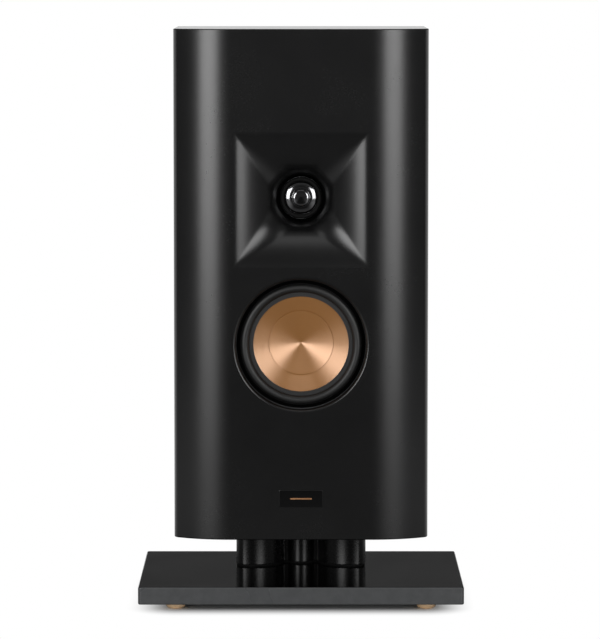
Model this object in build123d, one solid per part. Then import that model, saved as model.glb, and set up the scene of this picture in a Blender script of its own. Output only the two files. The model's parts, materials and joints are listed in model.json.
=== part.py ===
from build123d import *
import math
import os

# A two-way bookshelf speaker on a pedestal: a curved black cabinet with a square horn tweeter above a
# small woofer, carried by a two-lobed neck on a flat base plate with four turned feet.
# Millimetres. +X is right, +Y is the back, +Z is up. The origin is on the floor, under the plate's middle.
# Inside a driver, depth is measured backwards from the cabinet's front face.

# Base plate and feet
plate_width = 178.0
plate_depth = 135.0
plate_thickness = 9.6
plate_corner_radius = 1.5
plate_edge_chamfer = 0.5
foot_height = 4.9
foot_radius = 5.4
foot_tip_radius = 3.1
foot_rim_height = 2.7
foot_inset = 20.0
foot_stud_radius = 2.0
foot_stud_length = 5.0

# Neck
neck_gap = 23.0
neck_lobe_spacing = 56.0
neck_lobe_reach = 8.5
neck_lobe_radius = 19.0
neck_corner_radius = 6.0
neck_pillar_radius = 7.7
neck_web = 5.0
neck_pad = 0.8
neck_pad_inset = 0.5
bolt_radius = 2.9
bolt_head_radius = 5.2
bolt_head_height = 3.5
bolt_socket_radius = 2.0
bolt_socket_depth = 2.0
bolt_clearance = 0.3
insert_flange_radius = 9.0
insert_flange = 1.6
insert_wall = 1.2
bolt_thread_over = 1.5

# Cabinet
cabinet_width = 140.0
cabinet_depth = 92.0
cabinet_height = 280.5
wall = 5.0
shoulder_run = 32.0
shoulder_radius = 52.0
front_corner_radius = 6.0
rear_corner_radius = 3.0
rim_round = 1.0
least_round = 0.4

# Rear panel
panel_thickness = 5.0
panel_gasket = 1.0
rebate_width = 2.5
panel_clearance = 0.2
boss_radius = 4.5
boss_length = 22.0
boss_end_offset = 14.0
panel_screw_radius = 1.5
panel_screw_length = 14.0

# Screws
screw_clearance = 0.15
screw_head_ratio = 1.9
screw_head_height = 1.8
pilot_spare = 0.4
recess_radius = 0.9
recess_depth = 0.9

# Badge
badge_width = 24.0
badge_height = 9.4
badge_thickness = 1.2
badge_pocket = 0.8
badge_rise = 22.9
badge_clearance = 0.1

# Horn
driver_gap = 4.8
horn_mouth = 74.4
horn_depth = 21.5
horn_lip_slope = 0.22
horn_flare = 0.0125
horn_flare_power = 2.0
horn_throat_power = 6.0
horn_mouth_corner = 0.8
horn_corner_power = 0.75
horn_throat_share = 0.985
horn_lead_in = 0.4
horn_wall = 3.0
horn_flange = 3.0
horn_flange_trim = 3.0
horn_seat_clearance = 0.5
horn_screw_offset = 2.5
horn_screw_rim = 3.5
horn_screw_drop = 10.0
horn_screw_radius = 1.5
horn_screw_grip = 3.0
horn_sections = 10

# Tweeter
dome_radius = 9.0
dome_height = 2.6
dome_groove_radius = 4.9
dome_groove_drop = 0.5
dome_ring_crown = 0.05
dome_cap_drop = 0.1
dome_skin = 0.25
dome_gap = 0.1
tweeter_surround_width = 2.8
tweeter_ring = 0.6
tweeter_ring_edge = 3.5
tweeter_plate_radius = 30.5
tweeter_plate = 3.0
tweeter_magnet = 8.0
tweeter_motor_gap = 0.3
tweeter_yoke = 3.5
tweeter_former_wall = 0.2
tweeter_former_length = 4.6
tweeter_coil_wall = 0.3
tweeter_coil_length = 2.6
tweeter_screw_edge = 3.0
tweeter_screw_radius = 1.3
tweeter_screw_grip = 2.4
tweeter_screws = 3

# Woofer
woofer_rise = 107.8
woofer_hole_radius = 35.8
woofer_hole_round = 1.5
woofer_gasket = 1.0
woofer_flange_rim = 4.7
woofer_flange = 3.0
woofer_seat_clearance = 0.5
woofer_screw_offset = 2.4
woofer_screw_radius = 1.4
woofer_screw_grip = 3.2
woofer_screws = 4
surround_edge_gap = 0.5
surround_lip = 2.0
surround_roll_radius = 2.4
surround_inner_lip = 2.3
surround_skin = 0.6
cone_lip = 2.0
cone_slope = 0.759
cone_skin = 0.6
cone_seat_gap = 0.1
cone_neck_gap = 0.05
cap_radius = 17.7
cap_dish = 3.0
cap_skin = 0.5
cap_gap = 0.05
coil_radius = 13.0
former_wall = 0.3
former_overhang = 1.0
coil_wall = 0.5
coil_length = 7.0
motor_gap = 0.5
spider_depth = 13.5
spider_skin = 0.5
spider_wave = 0.8
spider_folds = 5
spider_inset = 2.2
basket_wall = 2.4
basket_foot = 5.0
basket_seat = 4.0
basket_window_width = 24.0
basket_window_height = 6.5
basket_windows = 4
woofer_plate = 4.0
woofer_magnet_overhang = 2.0
woofer_magnet = 12.0
woofer_yoke = 4.5
magnet_bore_gap = 3.0
pole_setback = 4.0
woofer_vent_radius = 4.0
tweeter_vent_radius = 2.0

# Terminal cup and binding posts
cup_rise = 62.0
cup_radius = 24.0
cup_wall = 2.0
cup_floor = 2.5
cup_depth = 18.0
cup_flange_rim = 6.0
cup_flange = 2.0
cup_gasket = 0.6
cup_clearance = 0.2
cup_screw_offset = 3.2
cup_screw_radius = 1.1
cup_screw_grip = 3.0
cup_screws = 4
post_spacing = 19.0
post_radius = 3.0
post_bore_radius = 2.0
post_bore_depth = 9.5
post_wire_hole_radius = 1.4
post_wire_hole_offset = 2.0
post_collar_rim = 2.0
post_collar = 2.0
post_length_outside = 14.0
post_length_inside = 10.0
post_clearance = 0.06
post_nut_rim = 2.0
post_nut = 3.0
ferrule_wall = 1.2
ferrule_setback = 2.9
post_cap_wall = 2.0
post_cap_gap = 0.3
post_cap_over = 0.9
post_cap_mouth_gap = 0.4
post_cap_lip = 1.2
post_cap_plain = 2.9
post_cap_flutes = 12
post_cap_flute_radius = 0.8

# Crossover and leads
board_width = 88.0
board_height = 62.0
board_thickness = 1.6
board_rise = 193.0
standoff_radius = 3.0
standoff_height = 6.0
standoff_inset = 5.0
board_screw_radius = 1.2
board_screw_head = 1.6
choke_radius = 16.0
choke_length = 15.0
choke_bore = 6.0
shunt_coil_radius = 11.0
shunt_coil_length = 11.0
shunt_coil_bore = 5.0
capacitor_radius = 6.0
capacitor_length = 26.0
resistor_size = 9.0
resistor_length = 34.0
part_seat = 0.05
part_spacing = 1.0
capacitor_row_inset = 10.0
lead_radius = 0.9
lead_pitch = 5.0
lead_out = 4.0
lead_reach = 9.0
lead_bend = 5.0
lead_back = 14.0
lead_fall = 18.0
lead_tail = 7.0
lead_spread = 1.5
lead_edge = 3.0
lead_lean = 2.0
tag_thickness = 0.8
tag_width = 4.0
tag_block = 6.0

# Places worked out from the sizes above
plate_top = foot_height + plate_thickness
cabinet_bottom = plate_top + neck_gap
cabinet_top = cabinet_bottom + cabinet_height
front_y = -cabinet_depth / 2
back_y = cabinet_depth / 2
inside_front_y = front_y + wall
ledge_y = back_y - panel_thickness - panel_gasket
panel_inside_y = back_y - panel_thickness
neck_y = back_y - neck_lobe_radius
woofer_flange_radius = woofer_hole_radius + woofer_flange_rim
woofer_screw_circle = woofer_hole_radius + woofer_screw_offset
horn_flange_width = horn_mouth + 2 * (horn_screw_offset + horn_screw_rim)
horn_flange_height = horn_mouth - 2 * horn_flange_trim
woofer_z = cabinet_bottom + woofer_rise
horn_z = woofer_z + woofer_flange_radius + driver_gap + horn_flange_height / 2
badge_z = cabinet_bottom + badge_rise
cup_z = cabinet_bottom + cup_rise
board_z = cabinet_bottom + board_rise
board_front_y = panel_inside_y - standoff_height - board_thickness
dome_depth = horn_depth
horn_throat_radius = dome_radius + tweeter_surround_width
tweeter_ring_bore = horn_throat_radius - dome_gap
tweeter_screw_circle = tweeter_plate_radius - tweeter_screw_edge
tweeter_ring_radius = tweeter_screw_circle - tweeter_ring_edge
tweeter_magnet_radius = tweeter_screw_circle - tweeter_screw_radius * screw_head_ratio - bolt_clearance
tweeter_plate_depth = horn_depth + tweeter_ring
tweeter_former_radius = dome_radius + dome_gap + tweeter_former_wall
woofer_flange_depth = wall + woofer_gasket
cone_depth = woofer_flange_depth + cone_seat_gap
surround_outer_radius = woofer_hole_radius - surround_edge_gap
surround_roll_middle = surround_outer_radius - surround_lip - surround_roll_radius
cone_radius = surround_roll_middle - surround_roll_radius - surround_inner_lip
spider_ledge_radius = cone_radius - spider_inset
spider_seat = woofer_flange_depth + spider_depth
woofer_plate_depth = spider_seat + basket_foot
woofer_plate_radius = spider_ledge_radius + basket_seat
woofer_magnet_radius = woofer_plate_radius + woofer_magnet_overhang
coil_middle_depth = woofer_plate_depth + woofer_plate / 2
cup_flange_radius = cup_radius + cup_flange_rim
cup_screw_circle = cup_radius + cup_screw_offset
cup_floor_y = back_y - cup_depth + cup_floor
ferrule_radius = post_radius + ferrule_wall
post_cap_radius = ferrule_radius + post_clearance + post_cap_wall
post_cap_length = post_length_outside - post_cap_gap + post_cap_over
post_collar_y = cup_floor_y + post_collar
post_end_y = post_collar_y + post_length_outside
post_cap_y = post_collar_y + post_cap_gap
shell_boss_x = cabinet_width / 2 - wall - boss_radius + 1.0


def facing_front(axis_z, x=0.0):
    """Place of a driver: its local Z is depth, measured backwards from the cabinet's front face."""
    plane = Plane(origin=(x, front_y, axis_z), x_dir=(1, 0, 0), z_dir=(0, 1, 0))
    return plane.location


def along_y(x, y, z):
    """Place of a piece whose local Z runs to the back, starting at y."""
    return Plane(origin=(x, y, z), x_dir=(1, 0, 0), z_dir=(0, 1, 0)).location


def turned(*points):
    """A solid turned about local Z from a closed outline of (radius, depth) points."""
    return revolve(Plane.XZ * make_face(Polyline(*points, close=True)), Axis.Z)


def washer(inner, outer, start, end):
    """A flat ring, or a disc where inner is 0, from depth start to depth end."""
    return turned((inner, start), (outer, start), (outer, end), (inner, end))


def ring_places(count, radius, first_angle=0.0):
    """Places evenly spaced on a circle in the local XY plane."""
    return [Rot(0, 0, first_angle + 360 * k / count) * Pos(radius, 0, 0) for k in range(count)]


def screw(radius, shank):
    """A pan-head screw: its tip at local Z 0, its shank along +Z and its head beyond the shank."""
    head = radius * screw_head_ratio
    recess = shank + screw_head_height - recess_depth
    body = turned((0, 0), (radius, 0), (radius, shank), (head, shank),
                  (head, shank + screw_head_height), (0, shank + screw_head_height))
    return body - Pos(0, 0, recess) * Cylinder(recess_radius, 2 * recess_depth,
                                               align=(Align.CENTER, Align.CENTER, Align.MIN))


def drilled(radius, start, end):
    """A round cutter along local Z."""
    return Pos(0, 0, start) * Cylinder(radius, end - start, align=(Align.CENTER, Align.CENTER, Align.MIN))


# Cabinet shell

def cabinet_outline(inset, rear, rear_round):
    """Plan face of the cabinet: a flat front, a wide shoulder arc and a small corner arc at each side."""
    half = cabinet_width / 2 - inset
    front = front_y + inset
    flat = cabinet_width / 2 - shoulder_run
    big = shoulder_radius - inset
    small = max(front_corner_radius - inset, least_round)
    turn = math.asin((half - flat - small) / (big - small))
    small_x = half - small
    small_y = front + big - (big - small) * math.cos(turn)

    def on_shoulder(angle):
        return (flat + big * math.sin(angle), front + big - big * math.cos(angle))

    def on_corner(angle):
        return (small_x + small * math.sin(angle), small_y - small * math.cos(angle))

    square = math.pi / 2
    side = Curve() + [
        Line((0, front), (flat, front)),
        ThreePointArc((flat, front), on_shoulder(turn / 2), on_shoulder(turn)),
        ThreePointArc(on_shoulder(turn), on_corner((turn + square) / 2), on_corner(square)),
        Line(on_corner(square), (half, rear - rear_round)),
    ]
    if rear_round:
        bend = rear_round * (1 - math.sqrt(0.5))
        side += ThreePointArc((half, rear - rear_round), (half - bend, rear - bend), (half - rear_round, rear))
    side += Line((half - rear_round, rear), (0, rear))
    return make_face(side + mirror(side, about=Plane.YZ))


def rear_panel_box(clearance, start_y, end_y):
    """A block that fills the rebate behind the cabinet, less a clearance on each edge."""
    shrink = 2 * (wall - rebate_width + clearance)
    middle_z = (cabinet_bottom + cabinet_top) / 2
    return Pos(0, (start_y + end_y) / 2, middle_z) * Box(
        cabinet_width - shrink, end_y - start_y, cabinet_height - shrink)


def panel_screw_places():
    """Six screw places, three down each side, at the outer face of the rear panel."""
    rows = (cabinet_bottom + boss_end_offset, (cabinet_bottom + cabinet_top) / 2, cabinet_top - boss_end_offset)
    return [(side * shell_boss_x, z) for side in (-1, 1) for z in rows]


def neck_bolt_places():
    return [(-neck_lobe_spacing / 2, neck_y), (neck_lobe_spacing / 2, neck_y)]


def horn_screw_places():
    out = horn_mouth / 2 + horn_screw_offset
    up = horn_flange_height / 2 - horn_screw_drop
    return [Pos(i * out, k * up, 0) for i in (-1, 1) for k in (-1, 1)]


def woofer_opening():
    """Cutter for the woofer's round opening, with the round along its front edge."""
    edge = min(woofer_hole_round, wall / 2)
    outer = woofer_hole_radius + edge
    bend = edge * (1 - math.sqrt(0.5))
    outline = Curve() + [
        Line((0, -1), (outer, -1)),
        Line((outer, -1), (outer, 0)),
        ThreePointArc((outer, 0), (woofer_hole_radius + bend, bend), (woofer_hole_radius, edge)),
        Line((woofer_hole_radius, edge), (woofer_hole_radius, wall + 1)),
        Line((woofer_hole_radius, wall + 1), (0, wall + 1)),
        Line((0, wall + 1), (0, -1)),
    ]
    return revolve(Plane.XZ * make_face(outline), Axis.Z)


def cabinet_shell():
    outer = Pos(0, 0, cabinet_bottom) * extrude(cabinet_outline(0, back_y, rear_corner_radius), cabinet_height)
    rims = outer.edges().group_by(Axis.Z)
    outer = fillet(rims[0] + rims[-1], rim_round)
    cavity = Pos(0, 0, cabinet_bottom + wall) * extrude(
        cabinet_outline(wall, back_y + wall, 0), cabinet_height - 2 * wall)
    shell = outer - cavity - rear_panel_box(0, ledge_y, back_y + wall)

    # Bosses for the rear panel's screws stand along the side walls.
    for x, z in panel_screw_places():
        place = along_y(x, ledge_y - boss_length, z)
        shell += place * drilled(boss_radius, 0, boss_length)
    for x, z in panel_screw_places():
        depth = panel_screw_length - panel_thickness - panel_gasket + pilot_spare
        shell -= along_y(x, ledge_y - depth, z) * drilled(panel_screw_radius + screw_clearance, 0, depth)

    # Woofer opening, the flat seat behind it for the gasket, and the pilot holes.
    woofer = facing_front(woofer_z)
    shell -= woofer * woofer_opening()
    shell -= woofer * drilled(woofer_flange_radius + woofer_seat_clearance, wall, wall + 2 * woofer_flange)
    for place in ring_places(woofer_screws, woofer_screw_circle, 45):
        shell -= woofer * place * drilled(woofer_screw_radius + screw_clearance,
                                          wall - woofer_screw_grip - pilot_spare, wall + 1)

    # Horn mouth, the flat seat for its flange, and the pilot holes.
    horn = facing_front(horn_z)
    shell -= horn * horn_air()
    shell -= horn * Pos(0, 0, wall + horn_flange) * Box(horn_flange_width + 2 * horn_seat_clearance,
                                                        horn_flange_height + 2 * horn_seat_clearance, 2 * horn_flange)
    for place in horn_screw_places():
        shell -= horn * place * drilled(horn_screw_radius + screw_clearance,
                                        wall - horn_screw_grip - pilot_spare, wall + 1)

    # Badge pocket, and the holes that take the neck's insert nuts.
    shell -= Pos(0, front_y, badge_z) * Box(badge_width + 2 * badge_clearance, 2 * badge_pocket,
                                            badge_height + 2 * badge_clearance)
    for x, y in neck_bolt_places():
        shell -= Pos(x, y, cabinet_bottom) * drilled(insert_radius() + bolt_clearance, -1, wall + 1)
    return shell


def rear_panel():
    panel = rear_panel_box(panel_clearance, panel_inside_y, back_y)
    for x, z in panel_screw_places():
        panel -= along_y(x, panel_inside_y, z) * drilled(panel_screw_radius + screw_clearance, -1, panel_thickness + 1)
        sunk = screw_head_height + pilot_spare
        panel -= along_y(x, back_y - sunk, z) * drilled(panel_screw_radius * screw_head_ratio + bolt_clearance, 0, sunk + 1)
    panel -= along_y(0, panel_inside_y, cup_z) * drilled(cup_radius + cup_clearance, -1, panel_thickness + 1)
    for place in ring_places(cup_screws, cup_screw_circle, 45):
        panel -= along_y(0, back_y, cup_z) * place * drilled(cup_screw_radius + screw_clearance,
                                                             -cup_screw_grip - pilot_spare, 1)
    for place in board_corner_places():
        panel -= along_y(0, panel_inside_y, board_z) * place * drilled(board_screw_radius + screw_clearance, -1,
                                                                       panel_thickness / 2)
    return panel


def rear_panel_gasket():
    ring = rear_panel_box(panel_clearance, ledge_y, panel_inside_y)
    opening = 2 * wall + 2 * panel_clearance
    middle_z = (cabinet_bottom + cabinet_top) / 2
    ring -= Pos(0, ledge_y, middle_z) * Box(cabinet_width - opening, 4 * panel_gasket, cabinet_height - opening)
    return ring


def rear_panel_screws():
    shank = panel_screw_length - screw_head_height
    tip_y = back_y - pilot_spare - panel_screw_length
    return [along_y(x, tip_y, z) * screw(panel_screw_radius, shank) for x, z in panel_screw_places()]


def badge():
    start = badge_pocket - badge_thickness
    plate = Pos(0, front_y + (start + badge_pocket) / 2, badge_z) * Box(badge_width, badge_thickness, badge_height)
    return chamfer(plate.faces().sort_by(Axis.Y)[0].edges(), (badge_thickness - badge_pocket) / 2)


# Horn and tweeter

def horn_depth_at(run):
    """Depth of the horn's wall at a distance inwards from the mouth's edge."""
    full = horn_mouth / 2 - horn_throat_radius
    near = max(run, 0.0)
    flare = horn_lip_slope * run + horn_flare * near ** horn_flare_power
    rest = horn_depth - horn_lip_slope * full - horn_flare * full ** horn_flare_power
    return flare + rest * (near / full) ** horn_throat_power


def horn_corner_at(run):
    """Corner radius of the horn's square section, small at the mouth and round at the throat."""
    full = horn_mouth / 2 - horn_throat_radius
    near = max(run, 0.0) / full
    at_mouth = horn_mouth_corner / (horn_mouth / 2)
    share = at_mouth + (horn_throat_share - at_mouth) * near ** horn_corner_power
    return share * (horn_mouth / 2 - run)


def horn_section(run, grow=0.0):
    half = horn_mouth / 2 - run + grow
    side = 2 * half
    corner = min(horn_corner_at(run) + grow, 0.995 * half)
    return Pos(0, 0, horn_depth_at(run)) * RectangleRounded(side, side, corner)


def horn_runs(start):
    """Runs of the loft's sections, evenly spaced from a start run to the throat."""
    full = horn_mouth / 2 - horn_throat_radius
    return [start + (full - start) * k / (horn_sections - 1) for k in range(horn_sections)]


def horn_run_at(depth):
    """Run at which the horn's wall has a given depth, by halving."""
    low = 0.0
    high = horn_mouth / 2 - horn_throat_radius
    for _ in range(40):
        middle = (low + high) / 2
        if horn_depth_at(middle) < depth:
            low = middle
        else:
            high = middle
    return low


def horn_air():
    """The space inside the horn, from just before the mouth to just past the throat."""
    before = -horn_lead_in / horn_lip_slope
    flare = loft([horn_section(run) for run in [before] + horn_runs(0)])
    return flare + drilled(horn_throat_radius, horn_depth - 0.01, horn_depth + 1)


def tweeter_horn():
    behind_wall = horn_runs(horn_run_at(wall + horn_flange / 2))
    body = loft([horn_section(run, horn_wall) for run in behind_wall])
    flange_middle = wall + horn_flange / 2
    body += Pos(0, 0, flange_middle) * Box(horn_flange_width, horn_flange_height, horn_flange)
    body += drilled(tweeter_plate_radius, horn_depth - horn_flange, horn_depth)
    body -= horn_air()
    for place in horn_screw_places():
        body -= place * drilled(horn_screw_radius + screw_clearance, wall - 1, wall + horn_flange + 1)
    for place in ring_places(tweeter_screws, tweeter_screw_circle, 90):
        body -= place * drilled(tweeter_screw_radius + screw_clearance,
                                horn_depth - tweeter_screw_grip - pilot_spare, horn_depth + 1)
    return facing_front(horn_z) * body


def horn_screws():
    start = wall - horn_screw_grip
    one = screw(horn_screw_radius, horn_screw_grip + horn_flange)
    return [facing_front(horn_z) * place * Pos(0, 0, start) * one for place in horn_screw_places()]


def dome_rise(radius):
    """Height of the dome in front of its rim: two stepped crowns with a groove between them."""
    share = min(radius / dome_radius, 1.0)
    return dome_height * math.sqrt(max(1 - share * share, 0.0))


def tweeter_dome():
    """Skin of the dome: an outer crown ring and an inner cap that meet in a shallow groove."""
    groove = dome_rise(dome_groove_radius) - dome_groove_drop
    ring_middle = (dome_radius + dome_groove_radius) / 2
    ring_crown = dome_rise(ring_middle) + dome_ring_crown
    cap_crown = dome_height - dome_cap_drop
    rim = dome_radius - dome_skin

    def outline(inner, drop):
        start = (0, dome_depth - cap_crown + drop)
        low = (dome_groove_radius, dome_depth - groove + drop)
        cap_side = (dome_groove_radius / 2, dome_depth - cap_crown + drop + (cap_crown - groove) * 0.25)
        return [ThreePointArc(start, cap_side, low),
                ThreePointArc(low, (ring_middle, dome_depth - ring_crown + drop), (inner, dome_depth))]

    front = outline(dome_radius, 0)
    rear = outline(rim, dome_skin)
    edges = front + rear + [
        Line((0, dome_depth - cap_crown), (0, dome_depth - cap_crown + dome_skin)),
        Line((dome_radius, dome_depth), (rim, dome_depth)),
    ]
    return facing_front(horn_z) * revolve(Plane.XZ * make_face(Curve() + edges), Axis.Z)


def tweeter_surround():
    """Half roll between the dome's rim and the mounting ring."""
    inner = dome_radius + dome_gap
    outer = tweeter_ring_bore - dome_gap
    middle = (inner + outer) / 2
    roll = (outer - inner) / 2
    skin = dome_skin
    edges = [
        ThreePointArc((inner, dome_depth), (middle, dome_depth - roll), (outer, dome_depth)),
        Line((outer, dome_depth), (outer - skin, dome_depth)),
        ThreePointArc((outer - skin, dome_depth), (middle, dome_depth - roll + skin), (inner + skin, dome_depth)),
        Line((inner + skin, dome_depth), (inner, dome_depth)),
    ]
    return facing_front(horn_z) * revolve(Plane.XZ * make_face(Curve() + edges), Axis.Z)


def tweeter_coil_former():
    inner = tweeter_former_radius - tweeter_former_wall
    return facing_front(horn_z) * washer(inner, tweeter_former_radius, dome_depth + dome_gap,
                                         dome_depth + tweeter_former_length)


def tweeter_voice_coil():
    middle = tweeter_plate_depth + tweeter_plate / 2
    return facing_front(horn_z) * washer(tweeter_former_radius, tweeter_former_radius + tweeter_coil_wall,
                                         middle - tweeter_coil_length / 2, middle + tweeter_coil_length / 2)


def tweeter_diaphragm_ring():
    return facing_front(horn_z) * washer(tweeter_ring_bore, tweeter_ring_radius, horn_depth, tweeter_plate_depth)


def motor_plate(bore, radius, depth, thickness):
    return washer(bore, radius, depth, depth + thickness)


def motor_yoke(pole, pole_start, plate_radius, depth, thickness, vent):
    return turned((vent, pole_start), (pole, pole_start), (pole, depth), (plate_radius, depth),
                  (plate_radius, depth + thickness), (vent, depth + thickness))


def tweeter_motor():
    """Top plate, magnet and yoke of the tweeter."""
    bore = tweeter_former_radius + tweeter_coil_wall + tweeter_motor_gap
    pole = tweeter_former_radius - tweeter_former_wall - tweeter_motor_gap
    magnet_depth = tweeter_plate_depth + tweeter_plate
    yoke_depth = magnet_depth + tweeter_magnet
    plate = motor_plate(bore, tweeter_plate_radius, tweeter_plate_depth, tweeter_plate)
    for place in ring_places(tweeter_screws, tweeter_screw_circle, 90):
        plate -= place * drilled(tweeter_screw_radius + screw_clearance, tweeter_plate_depth - 1, magnet_depth + 1)
    magnet = washer(bore + magnet_bore_gap, tweeter_magnet_radius, magnet_depth, yoke_depth)
    yoke = motor_yoke(pole, dome_depth + tweeter_motor_gap, tweeter_magnet_radius - 1, yoke_depth, tweeter_yoke,
                      tweeter_vent_radius)
    place = facing_front(horn_z)
    return place * plate, place * magnet, place * yoke


def tweeter_screw_set():
    start = horn_depth - tweeter_screw_grip
    one = screw(tweeter_screw_radius, tweeter_screw_grip + tweeter_ring + tweeter_plate)
    return [facing_front(horn_z) * place * Pos(0, 0, start) * one
            for place in ring_places(tweeter_screws, tweeter_screw_circle, 90)]


# Woofer

def cone_front(radius):
    """Depth of the cone's front face."""
    return cone_depth + cone_slope * (cone_radius - radius)


def woofer_surround():
    """Rubber half roll with a flat lip at each side, lying on the basket and on the cone's lip."""
    seat = woofer_flange_depth
    top = seat - surround_skin
    middle = surround_roll_middle
    outside = math.sqrt(surround_roll_radius ** 2 - surround_skin ** 2)
    inside = surround_roll_radius - surround_skin
    lip = cone_radius
    edges = [
        Line((surround_outer_radius, seat), (surround_outer_radius, top)),
        Line((surround_outer_radius, top), (middle + outside, top)),
        ThreePointArc((middle + outside, top), (middle, seat - surround_roll_radius), (middle - outside, top)),
        Line((middle - outside, top), (lip, top)),
        Line((lip, top), (lip, seat)),
        Line((lip, seat), (middle - inside, seat)),
        ThreePointArc((middle - inside, seat), (middle, seat - inside), (middle + inside, seat)),
        Line((middle + inside, seat), (surround_outer_radius, seat)),
    ]
    return facing_front(woofer_z) * revolve(Plane.XZ * make_face(Curve() + edges), Axis.Z)


def woofer_cone():
    neck = coil_radius + cone_neck_gap
    lip = cone_radius + cone_lip
    return facing_front(woofer_z) * turned(
        (lip, cone_depth), (lip, cone_depth + cone_skin), (cone_radius, cone_depth + cone_skin),
        (neck, cone_front(neck) + cone_skin), (neck, cone_front(neck)), (cone_radius, cone_depth))


def woofer_dust_cap():
    rim = cone_front(cap_radius) - cap_skin - cap_gap
    return facing_front(woofer_z) * turned((0, rim + cap_dish), (cap_radius, rim), (cap_radius, rim + cap_skin),
                                           (0, rim + cap_dish + cap_skin))


def woofer_coil_former():
    start = cone_front(coil_radius)
    end = coil_middle_depth + coil_length / 2 + former_overhang
    return facing_front(woofer_z) * washer(coil_radius - former_wall, coil_radius, start, end)


def woofer_voice_coil():
    return facing_front(woofer_z) * washer(coil_radius, coil_radius + coil_wall, coil_middle_depth - coil_length / 2,
                                           coil_middle_depth + coil_length / 2)


def woofer_spider():
    """Corrugated suspension from the coil former out to the basket's ledge."""
    start = coil_radius + cone_seat_gap
    end = spider_ledge_radius + basket_wall
    seat = spider_seat
    count = 2 * spider_folds
    flat = seat - spider_skin
    step = (spider_ledge_radius - start) / (count + 1)
    wave = [(start + step * (k + 1), flat + spider_wave * (-1) ** k) for k in range(count)]
    front = [(start, flat)] + wave + [(spider_ledge_radius, flat), (end, flat)]
    rear = [(r, d + spider_skin) for r, d in reversed(front)]
    return facing_front(woofer_z) * turned(*front, *rear)


def woofer_basket():
    """Cast frame: the flange behind the baffle, an open cone and the seat for spider and motor."""
    seat = spider_seat
    flange_end = woofer_flange_depth + woofer_flange
    bore = surround_roll_middle + surround_roll_radius + cone_seat_gap
    ledge_out = spider_ledge_radius + 2 * basket_wall
    skirt = ledge_out + basket_wall
    skirt_top = woofer_screw_circle - woofer_screw_radius * screw_head_ratio - bolt_clearance
    body = turned(
        (bore, woofer_flange_depth), (woofer_flange_radius, woofer_flange_depth), (woofer_flange_radius, flange_end),
        (skirt_top, flange_end), (skirt, seat - basket_wall), (skirt, seat + basket_wall / 2),
        (woofer_plate_radius, woofer_plate_depth), (spider_ledge_radius, woofer_plate_depth),
        (spider_ledge_radius, seat), (ledge_out, seat), (ledge_out, seat - basket_wall), (bore, flange_end))
    window_depth = (flange_end + seat - basket_wall) / 2
    window = Box(basket_wall * 8, basket_window_width, basket_window_height)
    for place in ring_places(basket_windows, skirt):
        body -= place * Pos(0, 0, window_depth) * window
    for place in ring_places(woofer_screws, woofer_screw_circle, 45):
        body -= place * drilled(woofer_screw_radius + screw_clearance, woofer_flange_depth - 1, flange_end + 1)
    return facing_front(woofer_z) * body


def woofer_gasket_ring():
    inner = woofer_hole_radius + cone_seat_gap
    ring = washer(inner, woofer_flange_radius, wall, woofer_flange_depth)
    for place in ring_places(woofer_screws, woofer_screw_circle, 45):
        ring -= place * drilled(woofer_screw_radius + screw_clearance, 0, woofer_flange_depth + 1)
    return facing_front(woofer_z) * ring


def woofer_screw_set():
    one = screw(woofer_screw_radius, woofer_screw_grip + woofer_gasket + woofer_flange)
    start = wall - woofer_screw_grip
    return [facing_front(woofer_z) * place * Pos(0, 0, start) * one
            for place in ring_places(woofer_screws, woofer_screw_circle, 45)]


def woofer_motor():
    """Top plate, magnet and yoke of the woofer."""
    bore = coil_radius + coil_wall + motor_gap
    pole = coil_radius - former_wall - motor_gap
    magnet_depth = woofer_plate_depth + woofer_plate
    yoke_depth = magnet_depth + woofer_magnet
    plate = motor_plate(bore, woofer_plate_radius, woofer_plate_depth, woofer_plate)
    magnet = washer(bore + magnet_bore_gap, woofer_magnet_radius, magnet_depth, yoke_depth)
    yoke = motor_yoke(pole, woofer_plate_depth - pole_setback, woofer_plate_radius, yoke_depth, woofer_yoke,
                      woofer_vent_radius)
    place = facing_front(woofer_z)
    return place * plate, place * magnet, place * yoke


def terminal_tags(side, axis_z, edge_radius, depth):
    """An insulating block on the rim of a driver's top plate, with two solder tags standing out of it."""
    block_x = side * (edge_radius + tag_block / 2)
    y = front_y + depth
    block = Pos(block_x, y, axis_z) * Box(tag_block, tag_thickness * 3, 2 * lead_pitch)
    for offset in (-lead_pitch / 2, lead_pitch / 2):
        block += Pos(block_x + side * tag_block / 2, y, axis_z + offset) * Box(tag_block, tag_thickness, tag_width / 2)
    return block


# Crossover

def board_corner_places():
    half_x = board_width / 2 - standoff_inset
    half_z = board_height / 2 - standoff_inset
    return [Pos(i * half_x, k * half_z, 0) for i in (-1, 1) for k in (-1, 1)]


def crossover_board():
    middle_y = board_front_y + board_thickness / 2
    board = Pos(0, middle_y, board_z) * Box(board_width, board_thickness, board_height)
    for place in board_corner_places():
        board -= along_y(0, board_front_y, board_z) * place * drilled(board_screw_radius + screw_clearance, -1,
                                                                      board_thickness + 1)
    return board


def board_standoffs():
    start = panel_inside_y - standoff_height
    bore = board_screw_radius + screw_clearance
    return [along_y(0, start, board_z) * place * washer(bore, standoff_radius, 0, standoff_height)
            for place in board_corner_places()]


def board_screws():
    """Screws that hold the board, driven from its front face through the standoffs into the panel."""
    reach = board_thickness + standoff_height + panel_thickness / 2 - pilot_spare
    head = board_screw_radius * screw_head_ratio
    one = turned((0, -board_screw_head), (head, -board_screw_head), (head, 0), (board_screw_radius, 0),
                 (board_screw_radius, reach), (0, reach))
    return [along_y(0, board_front_y, board_z) * place * one for place in board_corner_places()]


def coil_on_board(x, rise, radius, length, bore):
    return along_y(x, board_front_y - part_seat - length, board_z + rise) * washer(bore, radius, 0, length)


def woofer_choke():
    out = -(choke_radius + part_spacing)
    return coil_on_board(out, above_capacitors() + choke_radius, choke_radius, choke_length, choke_bore)


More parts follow.
